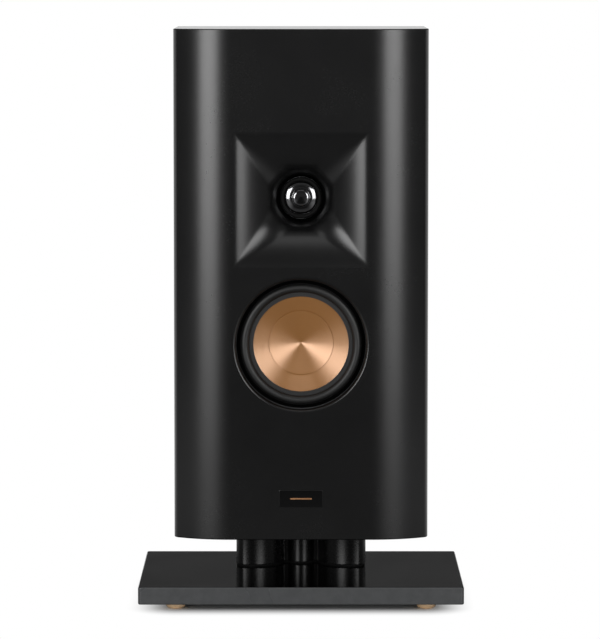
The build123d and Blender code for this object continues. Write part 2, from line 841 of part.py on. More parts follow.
def tweeter_shunt_coil():
    out = shunt_coil_radius + part_spacing
    rise = above_capacitors() + shunt_coil_radius
    return coil_on_board(out, rise, shunt_coil_radius, shunt_coil_length, shunt_coil_bore)


def above_capacitors():
    """Height above the board's middle where the parts over the row of capacitors start."""
    return -board_height / 2 + capacitor_row_inset + 2 * capacitor_radius + part_spacing


def crossover_capacitors():
    middle_y = board_front_y - part_seat - capacitor_radius
    can = Rot(0, 90, 0) * Cylinder(capacitor_radius, capacitor_length)
    rise = above_capacitors() - part_spacing - capacitor_radius
    out = (capacitor_length + part_spacing) / 2
    return [Pos(side * out, middle_y, board_z + rise) * can for side in (-1, 1)]


def crossover_resistor():
    middle_y = board_front_y - part_seat - resistor_size / 2
    rise = above_capacitors() + 2 * shunt_coil_radius + part_spacing + resistor_size / 2
    out = part_spacing + resistor_length / 2
    return Pos(out, middle_y, board_z + rise) * Box(resistor_length, resistor_size, resistor_size)


def lead(points):
    """One insulated wire: straight runs joined by the largest arcs that the runs leave room for."""
    runs = [Vector(*b) - Vector(*a) for a, b in zip(points, points[1:])]
    radii = []
    for before, after in zip(runs, runs[1:]):
        turn = math.radians(before.get_angle(after))
        radii.append(0.45 * min(before.length, after.length) / math.tan(turn / 2))
    path = FilletPolyline(*points, radius=radii)
    start = Plane(origin=points[0], z_dir=runs[0])
    return sweep(start * Circle(lead_radius), path=path)


def input_leads():
    """From the inner ends of the binding posts up to the board."""
    tail_y = cup_floor_y - cup_floor - post_length_inside
    end_z = board_z - board_height / 2 + standoff_inset
    wires = []
    for side in (-1, 1):
        x = side * post_spacing / 2
        wires.append(lead([
            (x, tail_y, cup_z),
            (x, tail_y - 8, cup_z),
            (x, tail_y - 13, cup_z + 8),
            (x, tail_y - 10, cup_z + 30),
            (x, tail_y - 4, end_z - 26),
            (x, board_front_y - 14, end_z - 8),
            (x, board_front_y - 6, end_z),
            (x, board_front_y, end_z),
        ]))
    return wires


def driver_leads(side, axis_z, edge_radius, depth, low_z):
    """From a driver's two solder tags back to the edge of the board."""
    tag_x = side * (edge_radius + 1.5 * tag_block)
    tag_y = front_y + depth
    far_x = tag_x + side * lead_reach
    wires = []
    for k in (-1, 1):
        z = axis_z + k * lead_pitch / 2
        end_x = side * (board_width / 2 - lead_edge - (k + 1) * lead_pitch / 2)
        end_z = low_z
        wires.append(lead([
            (tag_x, tag_y, z),
            (tag_x + side * lead_out, tag_y, z),
            (far_x, tag_y + lead_bend, z + lead_spread * k),
            (far_x, tag_y + lead_back, (2 * z + end_z) / 3 + lead_spread * k),
            (end_x + side * lead_lean, board_front_y - lead_fall, (z + 3 * end_z) / 4),
            (end_x, board_front_y - lead_tail, end_z),
            (end_x, board_front_y, end_z),
        ]))
    return wires


# Terminal cup and binding posts

def terminal_cup():
    """A round recessed cup with a flange, holding the two binding posts."""
    inner_start = cup_floor
    flange_start = cup_depth + cup_gasket
    flange_end = flange_start + cup_flange
    cup = turned((0, 0), (cup_radius, 0), (cup_radius, flange_start), (cup_flange_radius, flange_start),
                 (cup_flange_radius, flange_end), (cup_radius - cup_wall, flange_end),
                 (cup_radius - cup_wall, inner_start), (0, inner_start))
    for side in (-1, 1):
        cup -= Pos(side * post_spacing / 2, 0, 0) * drilled(post_radius + post_clearance, -1, cup_floor + 1)
    for place in ring_places(cup_screws, cup_screw_circle, 45):
        cup -= place * drilled(cup_screw_radius + screw_clearance, flange_start - 1, flange_end + 1)
    return along_y(0, back_y - cup_depth, cup_z) * cup


def terminal_cup_gasket():
    ring = washer(cup_radius + cup_clearance, cup_flange_radius, 0, cup_gasket)
    for place in ring_places(cup_screws, cup_screw_circle, 45):
        ring -= place * drilled(cup_screw_radius + screw_clearance, -1, cup_gasket + 1)
    return along_y(0, back_y, cup_z) * ring


def terminal_cup_screws():
    one = screw(cup_screw_radius, cup_screw_grip + cup_gasket + cup_flange)
    return [along_y(0, back_y - cup_screw_grip, cup_z) * place * one
            for place in ring_places(cup_screws, cup_screw_circle, 45)]


def binding_post(side):
    """Plated stud with a collar, a cross hole for bare wire and a socket in its outer end."""
    start = cup_floor_y - cup_floor - post_length_inside
    collar_start = cup_floor_y - start
    collar_end = collar_start + post_collar
    end = post_end_y - start
    collar = post_radius + post_collar_rim
    post = turned((0, 0), (post_radius, 0), (post_radius, collar_start), (collar, collar_start),
                  (collar, collar_end), (post_radius, collar_end), (post_radius, end), (0, end))
    post -= drilled(post_bore_radius, end - post_bore_depth, end + 1)
    hole = Rot(90, 0, 0) * Cylinder(post_wire_hole_radius, 4 * post_radius)
    post -= Pos(0, 0, collar_end + post_wire_hole_offset) * hole
    return along_y(side * post_spacing / 2, start, cup_z) * post


def post_ferrule(side):
    """Threaded brass sleeve inside the cap."""
    bore = post_radius + post_clearance
    end = post_cap_length - post_cap_lip
    return along_y(side * post_spacing / 2, post_cap_y, cup_z) * washer(bore, ferrule_radius, ferrule_setback, end)


def post_cap(side):
    """Fluted plastic cap that turns on the ferrule and clamps the wire against the collar."""
    bore = ferrule_radius + post_clearance
    mouth = post_radius + post_cap_mouth_gap
    lip = post_cap_length - post_cap_lip + post_clearance
    cap = turned((bore, 0), (post_cap_radius, 0), (post_cap_radius, post_cap_length), (mouth, post_cap_length),
                 (mouth, lip), (bore, lip))
    for place in ring_places(post_cap_flutes, post_cap_radius + post_cap_flute_radius / 2):
        cap -= place * drilled(post_cap_flute_radius, post_cap_plain, post_cap_length + 1)
    return along_y(side * post_spacing / 2, post_cap_y, cup_z) * cap


def post_nuts():
    """Hexagon nuts that pull the binding posts against the cup's floor."""
    bore = post_radius + post_clearance
    start = cup_floor_y - cup_floor - post_nut
    nut = extrude(RegularPolygon(post_radius + post_nut_rim, 6), post_nut) - drilled(bore, -1, post_nut + 1)
    return [along_y(side * post_spacing / 2, start, cup_z) * nut for side in (-1, 1)]


# Neck, base plate and feet

def insert_radius():
    return bolt_radius + bolt_clearance / 3 + insert_wall


def neck_outline():
    """Plan of the neck: two round lobes cut flat at their outer sides, joined by a web with a pillar."""
    lobe_x = neck_lobe_spacing / 2
    side = lobe_x + neck_lobe_reach
    keep = Pos(side - neck_lobe_radius, 0) * Rectangle(2 * neck_lobe_radius, 3 * neck_lobe_radius)
    lobe = Pos(lobe_x, 0) * Circle(neck_lobe_radius) & keep
    lobe = fillet(lobe.vertices().group_by(Axis.X)[-1], neck_corner_radius)
    plan = lobe + mirror(lobe, about=Plane.YZ)
    plan += Rectangle(neck_lobe_spacing, neck_web)
    return plan + Circle(neck_pillar_radius)


def neck_solid(outline, start, height):
    body = Pos(0, neck_y, start) * extrude(outline, height)
    for x, y in neck_bolt_places():
        body -= Pos(x, y, start) * drilled(bolt_radius + bolt_clearance, -1, height + 1)
    return body


def neck():
    return neck_solid(neck_outline(), plate_top + neck_pad, neck_gap - 2 * neck_pad)


def neck_pads():
    """Thin rubber pads between plate and neck, and between neck and cabinet."""
    outline = offset(neck_outline(), -neck_pad_inset)
    return neck_solid(outline, plate_top, neck_pad), neck_solid(outline, cabinet_bottom - neck_pad, neck_pad)


def counterbore_depth():
    return bolt_head_height + pilot_spare


def neck_bolts():
    """Socket-head bolts from under the plate, up through the neck into the cabinet's insert nuts."""
    head_start = foot_height + counterbore_depth() - bolt_head_height
    shank_start = head_start + bolt_head_height
    end = cabinet_bottom + wall + insert_flange + bolt_thread_over
    bolt = turned((0, head_start), (bolt_head_radius, head_start), (bolt_head_radius, shank_start),
                  (bolt_radius, shank_start), (bolt_radius, end), (0, end))
    bolt -= Pos(0, 0, head_start) * extrude(RegularPolygon(bolt_socket_radius, 6), bolt_socket_depth)
    return [Pos(x, y, 0) * bolt for x, y in neck_bolt_places()]


def neck_insert_nuts():
    """Flanged insert nuts in the cabinet's floor."""
    bore = bolt_radius + bolt_clearance / 3
    top = cabinet_bottom + wall
    nut = turned((bore, cabinet_bottom), (insert_radius(), cabinet_bottom), (insert_radius(), top),
                 (insert_flange_radius, top), (insert_flange_radius, top + insert_flange), (bore, top + insert_flange))
    return [Pos(x, y, 0) * nut for x, y in neck_bolt_places()]


def foot_places():
    half_x = plate_width / 2 - foot_inset
    half_y = plate_depth / 2 - foot_inset
    return [Pos(i * half_x, k * half_y, 0) for i in (-1, 1) for k in (-1, 1)]


def base_plate():
    middle_z = foot_height + plate_thickness / 2
    plate = Pos(0, 0, middle_z) * Box(plate_width, plate_depth, plate_thickness)
    plate = fillet(plate.edges().filter_by(Axis.Z), plate_corner_radius)
    rims = plate.edges().group_by(Axis.Z)
    plate = chamfer(rims[0] + rims[-1], plate_edge_chamfer)
    for x, y in neck_bolt_places():
        plate -= Pos(x, y, foot_height) * drilled(bolt_radius + bolt_clearance, -1, plate_thickness + 1)
        plate -= Pos(x, y, foot_height) * drilled(bolt_head_radius + bolt_clearance, -1, counterbore_depth())
    for place in foot_places():
        plate -= place * drilled(foot_stud_radius + screw_clearance, 0, foot_height + foot_stud_length + pilot_spare)
    return plate


def feet():
    """Turned feet with a rounded lower edge and a stud that screws into the plate."""
    bulge_r = foot_tip_radius + (foot_radius - foot_tip_radius) * 0.72
    bulge_z = (foot_height - foot_rim_height) * 0.3
    shoulder = foot_height - foot_rim_height
    edges = [
        Line((0, 0), (foot_tip_radius, 0)),
        ThreePointArc((foot_tip_radius, 0), (bulge_r, bulge_z), (foot_radius, shoulder)),
        Line((foot_radius, shoulder), (foot_radius, foot_height)),
        Line((foot_radius, foot_height), (foot_stud_radius, foot_height)),
        Line((foot_stud_radius, foot_height), (foot_stud_radius, foot_height + foot_stud_length)),
        Line((foot_stud_radius, foot_height + foot_stud_length), (0, foot_height + foot_stud_length)),
        Line((0, foot_height + foot_stud_length), (0, 0)),
    ]
    foot = revolve(Plane.XZ * make_face(Curve() + edges), Axis.Z)
    return [place * foot for place in foot_places()]


def all_parts():
    """Every node of the speaker: its name and its solid, or its group of equal solids."""
    tweeter_plate_part, tweeter_magnet_part, tweeter_yoke_part = tweeter_motor()
    woofer_plate_part, woofer_magnet_part, woofer_yoke_part = woofer_motor()
    base_pad, top_pad = neck_pads()
    woofer_tag_depth = woofer_plate_depth + woofer_plate / 2
    tweeter_tag_depth = tweeter_plate_depth + tweeter_plate / 2
    lead_low = board_z - board_height / 2 + 2 * standoff_inset
    return {
        "cabinet_shell": cabinet_shell(),
        "rear_panel": rear_panel(),
        "rear_panel_gasket": rear_panel_gasket(),
        "rear_panel_screws": rear_panel_screws(),
        "badge": badge(),
        "tweeter_horn": tweeter_horn(),
        "horn_screws": horn_screws(),
        "tweeter_dome": tweeter_dome(),
        "tweeter_surround": tweeter_surround(),
        "tweeter_coil_former": tweeter_coil_former(),
        "tweeter_voice_coil": tweeter_voice_coil(),
        "tweeter_diaphragm_ring": tweeter_diaphragm_ring(),
        "tweeter_top_plate": tweeter_plate_part,
        "tweeter_magnet": tweeter_magnet_part,
        "tweeter_yoke": tweeter_yoke_part,
        "tweeter_screws": tweeter_screw_set(),
        "tweeter_terminals": terminal_tags(1, horn_z, tweeter_plate_radius, tweeter_tag_depth),
        "woofer_basket": woofer_basket(),
        "woofer_gasket": woofer_gasket_ring(),
        "woofer_screws": woofer_screw_set(),
        "woofer_surround": woofer_surround(),
        "woofer_cone": woofer_cone(),
        "woofer_dust_cap": woofer_dust_cap(),
        "woofer_coil_former": woofer_coil_former(),
        "woofer_voice_coil": woofer_voice_coil(),
        "woofer_spider": woofer_spider(),
        "woofer_top_plate": woofer_plate_part,
        "woofer_magnet": woofer_magnet_part,
        "woofer_yoke": woofer_yoke_part,
        "woofer_terminals": terminal_tags(-1, woofer_z, woofer_plate_radius, woofer_tag_depth),
        "crossover_board": crossover_board(),
        "crossover_standoffs": board_standoffs(),
        "crossover_board_screws": board_screws(),
        "woofer_choke": woofer_choke(),
        "tweeter_shunt_coil": tweeter_shunt_coil(),
        "crossover_capacitors": crossover_capacitors(),
        "crossover_resistor": crossover_resistor(),
        "input_leads": input_leads(),
        "woofer_leads": driver_leads(-1, woofer_z, woofer_plate_radius, woofer_tag_depth, lead_low),
        "tweeter_leads": driver_leads(1, horn_z, tweeter_plate_radius, tweeter_tag_depth, lead_low),
        "terminal_cup": terminal_cup(),
        "terminal_cup_gasket": terminal_cup_gasket(),
        "terminal_cup_screws": terminal_cup_screws(),
        "red_post": binding_post(-1),
        "red_post_ferrule": post_ferrule(-1),
        "red_post_cap": post_cap(-1),
        "black_post": binding_post(1),
        "black_post_ferrule": post_ferrule(1),
        "black_post_cap": post_cap(1),
        "post_nuts": post_nuts(),
        "neck": neck(),
        "neck_base_pad": base_pad,
        "neck_top_pad": top_pad,
        "neck_bolts": neck_bolts(),
        "neck_insert_nuts": neck_insert_nuts(),
        "base_plate": base_plate(),
        "feet": feet(),
    }


os.makedirs("parts", exist_ok=True)
for node, shape in all_parts().items():
    solids = shape if isinstance(shape, list) else [shape]
    group = Compound(children=[s for piece in solids for s in piece.solids()])
    export_step(group, f"parts/{node}.step")
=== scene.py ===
import json
import bmesh
import bpy
import numpy as np
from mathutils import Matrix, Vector


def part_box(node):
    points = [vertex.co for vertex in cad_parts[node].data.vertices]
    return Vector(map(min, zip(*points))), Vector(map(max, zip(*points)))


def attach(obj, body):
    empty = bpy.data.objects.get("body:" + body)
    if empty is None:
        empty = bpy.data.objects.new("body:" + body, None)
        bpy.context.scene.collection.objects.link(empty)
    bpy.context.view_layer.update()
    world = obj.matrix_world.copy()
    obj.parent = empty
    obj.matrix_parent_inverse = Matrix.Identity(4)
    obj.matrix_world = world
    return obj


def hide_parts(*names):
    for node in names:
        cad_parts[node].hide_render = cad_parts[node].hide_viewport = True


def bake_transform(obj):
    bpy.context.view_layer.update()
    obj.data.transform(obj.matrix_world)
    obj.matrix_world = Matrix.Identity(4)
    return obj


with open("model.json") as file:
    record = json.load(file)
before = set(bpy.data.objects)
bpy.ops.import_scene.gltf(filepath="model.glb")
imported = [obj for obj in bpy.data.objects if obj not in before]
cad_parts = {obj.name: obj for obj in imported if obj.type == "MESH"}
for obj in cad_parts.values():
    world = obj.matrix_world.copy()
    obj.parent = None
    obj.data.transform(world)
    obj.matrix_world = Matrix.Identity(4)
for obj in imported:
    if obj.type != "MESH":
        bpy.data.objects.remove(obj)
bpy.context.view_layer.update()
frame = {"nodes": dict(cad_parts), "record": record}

mm = 0.001
print("frame loaded:", len(frame["nodes"]), "nodes")


def nodeBox(name):
    return np.array(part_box(name), float)  # lowest and highest corner


cabinetLow, cabinetHigh = nodeBox("cabinet_shell")
plateLow, plateHigh = nodeBox("base_plate")
neckLow, neckHigh = nodeBox("neck")
frontY = cabinetLow[1]
woofer = nodeBox("woofer_cone").mean(axis=0)
horn = nodeBox("tweeter_dome").mean(axis=0)


# Shader maths: a wire is one socket, and each operator on it adds a Math node.
class Wire:
    def __init__(self, tree, socket):
        self.tree = tree
        self.socket = socket

    def add(self, kind, settings=None, inputs=None, out=0):
        node = self.tree.nodes.new("ShaderNode" + kind)
        for key, value in (settings or {}).items():
            setattr(node, key, value)
        for key, value in (inputs or {}).items():
            if isinstance(value, Wire):
                self.tree.links.new(value.socket, node.inputs[key])
            else:
                node.inputs[key].default_value = value
        return Wire(self.tree, node.outputs[out])

    def math(self, operation, first, second=0.0):
        return self.add("Math", {"operation": operation}, {0: first, 1: second})

    def vector(self, operation, first, second=(0, 0, 0), out=0):
        return self.add("VectorMath", {"operation": operation}, {0: first, 1: second}, out)

    def __add__(self, other):
        return self.math("ADD", self, other)

    def __radd__(self, other):
        return self.math("ADD", other, self)

    def __sub__(self, other):
        return self.math("SUBTRACT", self, other)

    def __rsub__(self, other):
        return self.math("SUBTRACT", other, self)

    def __mul__(self, other):
        return self.math("MULTIPLY", self, other)

    def __rmul__(self, other):
        return self.math("MULTIPLY", other, self)

    def cloud(self, scale, detail=3.0, roughness=0.5):
        inputs = {"Vector": self, "Scale": scale, "Detail": detail, "Roughness": roughness}
        return self.add("TexNoise", {"noise_dimensions": "3D"}, inputs)

    def grain(self, scale):
        return self.cloud(scale, roughness=0.6)

    def band(self, low, high, start=0.0, end=1.0):
        inputs = {"Value": self, "From Min": low, "From Max": high, "To Min": start, "To Max": end}
        return self.add("MapRange", {"clamp": True}, inputs)

    def spread(self, start=0.0, end=1.0):
        return self.band(0.35, 0.65, start, end)  # a noise's busy middle, stretched

    def part(self, axis):
        return self.add("SeparateXYZ", None, {0: self}, axis)

    def grey(self):
        return self.add("CombineColor", None, {0: self, 1: self, 2: self})

    def tint(self, dark, light):
        return self.add("Mix", {"data_type": "RGBA"}, {0: self, 6: (*dark, 1), 7: (*light, 1)}, 2)

    def bump(self, strength, distance):
        return self.add("Bump", None, {"Height": self, "Strength": strength, "Distance": distance})


def newFinish(name, build):
    # One Principled shader, with the values or wires that build gives for its sockets.
    finish = bpy.data.materials.new(name)
    finish.use_nodes = True
    tree = finish.node_tree
    shader = tree.nodes["Principled BSDF"]
    place = Wire(tree, tree.nodes.new("ShaderNodeTexCoord").outputs["Object"])
    for key, value in build(place).items():
        if isinstance(value, Wire):
            tree.links.new(value.socket, shader.inputs[key])
        else:
            shader.inputs[key].default_value = value
    return finish


def layOver(finish, build):
    # Lays a second shader over a finish, by the mask that build gives with its values.
    tree = finish.node_tree
    place = Wire(tree, tree.nodes["Texture Coordinate"].outputs["Object"])
    mask, values = build(place)
    under = Wire(tree, tree.nodes["Principled BSDF"].outputs[0])
    over = place.add("BsdfPrincipled", None, values)
    both = place.add("MixShader", None, {0: mask, 1: under, 2: over})
    tree.links.new(both.socket, tree.nodes["Material Output"].inputs["Surface"])
    return finish


def roundAxis(place, centre):
    # Flat offset from a driver's axis, and its length.
    flat = place.vector("MULTIPLY", place.vector("SUBTRACT", place, tuple(centre)), (1, 0, 1))
    return flat, place.vector("LENGTH", flat, out=1)


# painted shade: near-black colour for the deep hollows round the drivers
paintedShadeLook = {"dark": (0.0006,) * 3, "light": (0.0012,) * 3, "grainScale": 1500, "roughness": 0.9, "ior": 1.05}


def paintedShadeRing(edges, centre):
    # Painted shade: dull black, rough and barely mirroring, that sets in between two radii round a driver's
    # axis where a deep hollow lies dark.
    def build(place):
        mask = roundAxis(place, centre)[1].band(edges[0] * mm, edges[1] * mm)
        shade = place.grain(paintedShadeLook["grainScale"]).spread().tint(paintedShadeLook["dark"], paintedShadeLook["light"])
        return mask, {"Base Color": shade, "Roughness": paintedShadeLook["roughness"], "IOR": paintedShadeLook["ior"]}
    return build


grainMix = {"cloudScale": 35, "cloudInColour": 0.55, "cloudInRoughness": 0.5}


def grainFinish(name, look):
    # Plain finish with fine grain: two noises vary the colour, the roughness and a small bump.
    def build(place):
        cloud, grain = place.cloud(grainMix["cloudScale"]), place.grain(look["grainScale"])
        inColour, inRoughness = grainMix["cloudInColour"], grainMix["cloudInRoughness"]
        mottle = cloud * inColour + grain * (1 - inColour)
        wear = cloud * inRoughness + grain * (1 - inRoughness)
        return {
            "Base Color": mottle.spread().tint(look["dark"], look["light"]),
            "Roughness": wear.spread(*look["roughness"]),
            "Metallic": look.get("metallic", 0.0),
            "IOR": look.get("ior", 1.5),
            "Normal": grain.bump(look["bump"], look["bumpDepth"] * mm),
        }
    return newFinish(name, build)


def plateFinish(name, look):
    # Glass painted black underneath: dark and polished on its faces, greyer at its edges, partly for their
    # ground surface and partly as painted light that the glass scatters out at its edges.
    def build(place):
        reach = place.vector("SUBTRACT", place.vector("ABSOLUTE", place), (plateHigh[0], plateHigh[1], 0))
        edgeStart, edgeEnd = look["edgeDepth"]
        edge = place.math("MAXIMUM", reach.part(0), reach.part(1)).band(-edgeStart * mm, -edgeEnd * mm)
        cloud, grain = place.cloud(look["cloudScale"]), place.grain(look["grainScale"])
        face = (cloud * 0.5 + grain * 0.5).spread().tint(look["dark"], look["light"])
        # edge colour: ground glass, plus painted light scattered out through the edges
        groundAndGlow = grain.spread().tint(look["edgeDark"], look["edgeLight"])
        return {
            "Base Color": place.add("Mix", {"data_type": "RGBA"}, {0: edge, 6: face, 7: groundAndGlow}, 2),
            "Roughness": cloud.spread(*look["roughness"]) + edge * look["edgeRoughness"],
            "Normal": grain.bump(look["bump"], look["bumpDepth"] * mm),
        }
    return newFinish(name, build)


def spunFinish(name, look, centre):
    # Lathe lines spread a highlight along the radius: equal lobes, each normal leaning a step further out.
    finish = bpy.data.materials.new(name)
    finish.use_nodes = True
    tree = finish.node_tree
    place = Wire(tree, tree.nodes.new("ShaderNodeTexCoord").outputs["Object"])
    flat, radius = roundAxis(place, centre)
    outward = place.vector("NORMALIZE", flat)
    lines = place.add("TexNoise", {"noise_dimensions": "1D"},
                      {"W": radius, "Scale": 1 / (look["line"] * mm), "Detail": 3.0, "Roughness": 0.7})
    cloud = place.cloud(look["cloudScale"])
    share, spread = look["lineShare"], look["spread"]
    colour = (lines * share + cloud * (1 - share)).band(*spread).tint(look["dark"], look["light"])
    rough = (lines * 0.5 + cloud * 0.5).band(*spread, *look["roughness"])
    facing = place.add("NewGeometry", out="Normal")
    onCone = radius.band(look["coneStart"] * mm, look["coneFull"] * mm)
    mixed = None
    for count, lean in enumerate(look["leans"], 1):
        amount = onCone * look["coneBias"] + lean
        sideways = place.add("VectorMath", {"operation": "SCALE"}, {0: outward, "Scale": amount})
        normal = place.vector("NORMALIZE", place.vector("ADD", facing, sideways))
        lobe = place.add("BsdfPrincipled", None, {"Base Color": colour, "Metallic": look["metallic"],
                                                  "IOR": look["ior"], "Roughness": rough, "Normal": normal})
        mixed = place.add("MixShader", None, {0: 1 / count, 1: mixed, 2: lobe}) if mixed else lobe
    tree.links.new(mixed.socket, tree.nodes["Material Output"].inputs["Surface"])
    tree.nodes.remove(tree.nodes["Principled BSDF"])
    return finish


lacquerLook = {"dark": (0.0015, 0.0015, 0.0016), "light": (0.0025, 0.0025, 0.0026), "grainScale": 900,
               "roughness": (0.255, 0.275), "bump": 0.01, "bumpDepth": 0.008}
lidLook = {"dark": (0.003, 0.003, 0.0032), "light": (0.006, 0.006, 0.0062), "grainScale": 900,
           "roughness": (0.06, 0.09), "ior": 1.05, "start": 0.2, "end": 0.05}
polishLook = {"dark": (0.001, 0.001, 0.001), "light": (0.002, 0.002, 0.002), "grainScale": 240,
              # edgeDark and edgeLight: the ground edges' grey with painted light scattered through the glass
              "edgeDark": (0.055, 0.057, 0.059), "edgeLight": (0.065, 0.067, 0.069),
              "edgeDepth": (0.5, 0.2), "edgeRoughness": 0.2, "cloudScale": 30,
              "roughness": (0.07, 0.11), "bump": 0.02, "bumpDepth": 0.01}
neckLook = {"dark": (0.0015, 0.0015, 0.0016), "light": (0.0025, 0.0025, 0.0026), "grainScale": 700,
            "roughness": (0.26, 0.3), "ior": 1.34, "bump": 0.01, "bumpDepth": 0.008}
hornLook = {"dark": (0.004, 0.004, 0.0041), "light": (0.0055, 0.0055, 0.0056), "grainScale": 1100,
            "roughness": (0.245, 0.265), "ior": 1.45, "bump": 0.01, "bumpDepth": 0.008,
            # throat: radii where painted shade sets in, deep in the flare
            "throat": (15.5, 13.0)}
rubberLook = {"dark": (0.0012, 0.0012, 0.0012), "light": (0.003, 0.003, 0.003), "grainScale": 1500,
              "roughness": (0.75, 0.85), "ior": 1.25, "bump": 0.25, "bumpDepth": 0.03}
domeLook = {"dark": (0.16, 0.16, 0.165), "light": (0.20, 0.20, 0.205), "grainScale": 2200, "metallic": 1.0,
            "roughness": (0.10, 0.14), "bump": 0.02, "bumpDepth": 0.01}
trimLook = {"dark": (0.0015, 0.0015, 0.0016), "light": (0.0025, 0.0025, 0.0026), "grainScale": 500,
            "roughness": (0.04, 0.07), "bump": 0.02, "bumpDepth": 0.01}
coneLook = {"dark": (0.37, 0.146, 0.020), "light": (0.445, 0.188, 0.036), "line": 0.3, "lineShare": 0.7,
            "cloudScale": 60, "spread": (0.3, 0.7), "roughness": (0.22, 0.27), "metallic": 0.42, "ior": 2.7,
            "coneStart": 17.7, "coneFull": 17.9, "coneBias": 0.45,
            "leans": (-0.42, -0.34, -0.26, -0.18, -0.1, -0.02, 0.06)}
barLook = {"dark": (0.30, 0.14, 0.06), "light": (0.40, 0.20, 0.09), "grainScale": 900, "metallic": 0.4,
           "roughness": (0.3, 0.4), "bump": 0.05, "bumpDepth": 0.01}
footLook = {"dark": (0.97, 0.63, 0.35), "light": (1.0, 0.73, 0.46), "grainScale": 700, "metallic": 0.1,
            "roughness": (0.28, 0.36), "bump": 0.08, "bumpDepth": 0.01}


def lidShader(place):
    # The lid is smooth, but mirrors little unless seen along it.
    grain = place.grain(lidLook["grainScale"])
    mask = place.part(2).band(cabinetHigh[2] - lidLook["start"] * mm, cabinetHigh[2] - lidLook["end"] * mm)
    return mask, {"Base Color": grain.spread().tint(lidLook["dark"], lidLook["light"]),
                  "Roughness": grain.spread(*lidLook["roughness"]), "IOR": lidLook["ior"]}


def plainLook(dark, light, grainScale, roughness, metallic=0.0, bump=0.1):
    # Settings for the grain finish of an inner or small piece.
    return {"dark": dark, "light": light, "grainScale": grainScale, "roughness": roughness,
            "metallic": metallic, "bump": bump, "bumpDepth": 0.05}


innerLooks = {
    "treated_cloth": plainLook((0.35, 0.24, 0.10), (0.50, 0.37, 0.18), 1400, (0.8, 0.9)),
    "cast_frame": plainLook((0.018, 0.018, 0.019), (0.03, 0.03, 0.031), 900, (0.45, 0.6)),
    "motor_steel": plainLook((0.42, 0.43, 0.45), (0.52, 0.53, 0.55), 500, (0.3, 0.42), metallic=1.0),
    "ferrite": plainLook((0.035, 0.035, 0.038), (0.06, 0.06, 0.063), 1300, (0.6, 0.75)),
    "former_foil": plainLook((0.6, 0.6, 0.61), (0.72, 0.72, 0.73), 600, (0.25, 0.4), metallic=1.0),
    "coil_wire": plainLook((0.42, 0.17, 0.06), (0.58, 0.27, 0.12), 1800, (0.3, 0.4), metallic=1.0),
    "tag_board": plainLook((0.03, 0.10, 0.05), (0.05, 0.16, 0.08), 700, (0.4, 0.5)),
    "capacitor_film": plainLook((0.42, 0.29, 0.05), (0.55, 0.40, 0.09), 500, (0.2, 0.3)),
    "ceramic": plainLook((0.62, 0.61, 0.57), (0.75, 0.74, 0.70), 900, (0.6, 0.75)),
    "nylon": plainLook((0.62, 0.61, 0.57), (0.72, 0.71, 0.67), 900, (0.5, 0.6)),
    "lead_sleeve": plainLook((0.02, 0.02, 0.02), (0.035, 0.035, 0.035), 900, (0.5, 0.6)),
    "cup_plastic": plainLook((0.012, 0.012, 0.0125), (0.022, 0.022, 0.0225), 2000, (0.45, 0.6), bump=0.3),
    "plated_brass": plainLook((0.72, 0.50, 0.20), (0.83, 0.62, 0.28), 900, (0.16, 0.24), metallic=1.0),
    "red_plastic": plainLook((0.36, 0.008, 0.008), (0.50, 0.018, 0.016), 800, (0.18, 0.26)),
    "black_plastic": plainLook((0.010, 0.010, 0.010), (0.02, 0.02, 0.02), 800, (0.18, 0.26)),
    "screw_steel": plainLook((0.03, 0.03, 0.032), (0.055, 0.055, 0.058), 1200, (0.35, 0.45), metallic=0.9),
}

rollLook = {"dark": (0.001, 0.001, 0.001), "light": (0.0025, 0.0025, 0.0025), "grainScale": 1800,
            "roughness": (0.7, 0.8), "ior": 1.25, "bump": 0.1, "bumpDepth": 0.01}


def surroundFinish(name, look, centre):
    # Rubber that shines a little on the roll, and painted shade outside it: a dull black lip, dark as the
    # deep gap round it.
    def build(place):
        grain, cloud = place.grain(look["grainScale"]), place.cloud(look["cloudScale"], 2.0)
        share = look["grainShare"]
        return {
            "Base Color": (grain * share + cloud * (1 - share)).spread().tint(look["dark"], look["light"]),
            "Roughness": grain.spread(*look["roughness"]),
            "IOR": look["ior"],
            "Normal": grain.bump(look["bump"], look["bumpDepth"] * mm),
        }

    return layOver(newFinish(name, build), paintedShadeRing(look["lip"], centre))


surroundLook = {"dark": (0.0015, 0.0015, 0.0015), "light": (0.008, 0.008, 0.008), "grainScale": 1500,
                "grainShare": 0.6, "cloudScale": 40, "roughness": (0.42, 0.5), "ior": 1.5, "bump": 0.2,
                # lip: radii of the painted-shade ring in the deep gap
                "bumpDepth": 0.02, "lip": (33.1, 33.5)}
finishes = {
    "black_lacquer": layOver(grainFinish("satin black lacquer", lacquerLook), lidShader),
    "black_plate": plateFinish("black glass plate", polishLook),
    "copper": grainFinish("turned copper", footLook),
    "copper_cone": spunFinish("spun copper", coneLook, woofer),
    "black_trim": grainFinish("gloss black trim", trimLook),
    # the horn's throat, deep in the flare, is painted dull black as shade
    "horn_plastic": layOver(grainFinish("satin horn", hornLook), paintedShadeRing(hornLook["throat"], horn)),
    "black_dome": grainFinish("coated dome", domeLook),
    "rubber": grainFinish("black rubber", rubberLook),
}
finishes.update({slot: grainFinish(slot.replace("_", " "), look) for slot, look in innerLooks.items()})
barFinish = grainFinish("badge copper", barLook)
neckFinish = grainFinish("satin neck", neckLook)
domeRollFinish = grainFinish("dome roll", rollLook)
surroundRubber = surroundFinish("surround rubber", surroundLook, woofer)
slotOf = {row["node"]: row["material_slot"] for row in frame["record"]["subparts"]}
for nodeName, nodeObject in frame["nodes"].items():
    nodeObject.data.materials.clear()
    nodeObject.data.materials.append(finishes[slotOf[nodeName]])
print("finishes:", len(finishes))


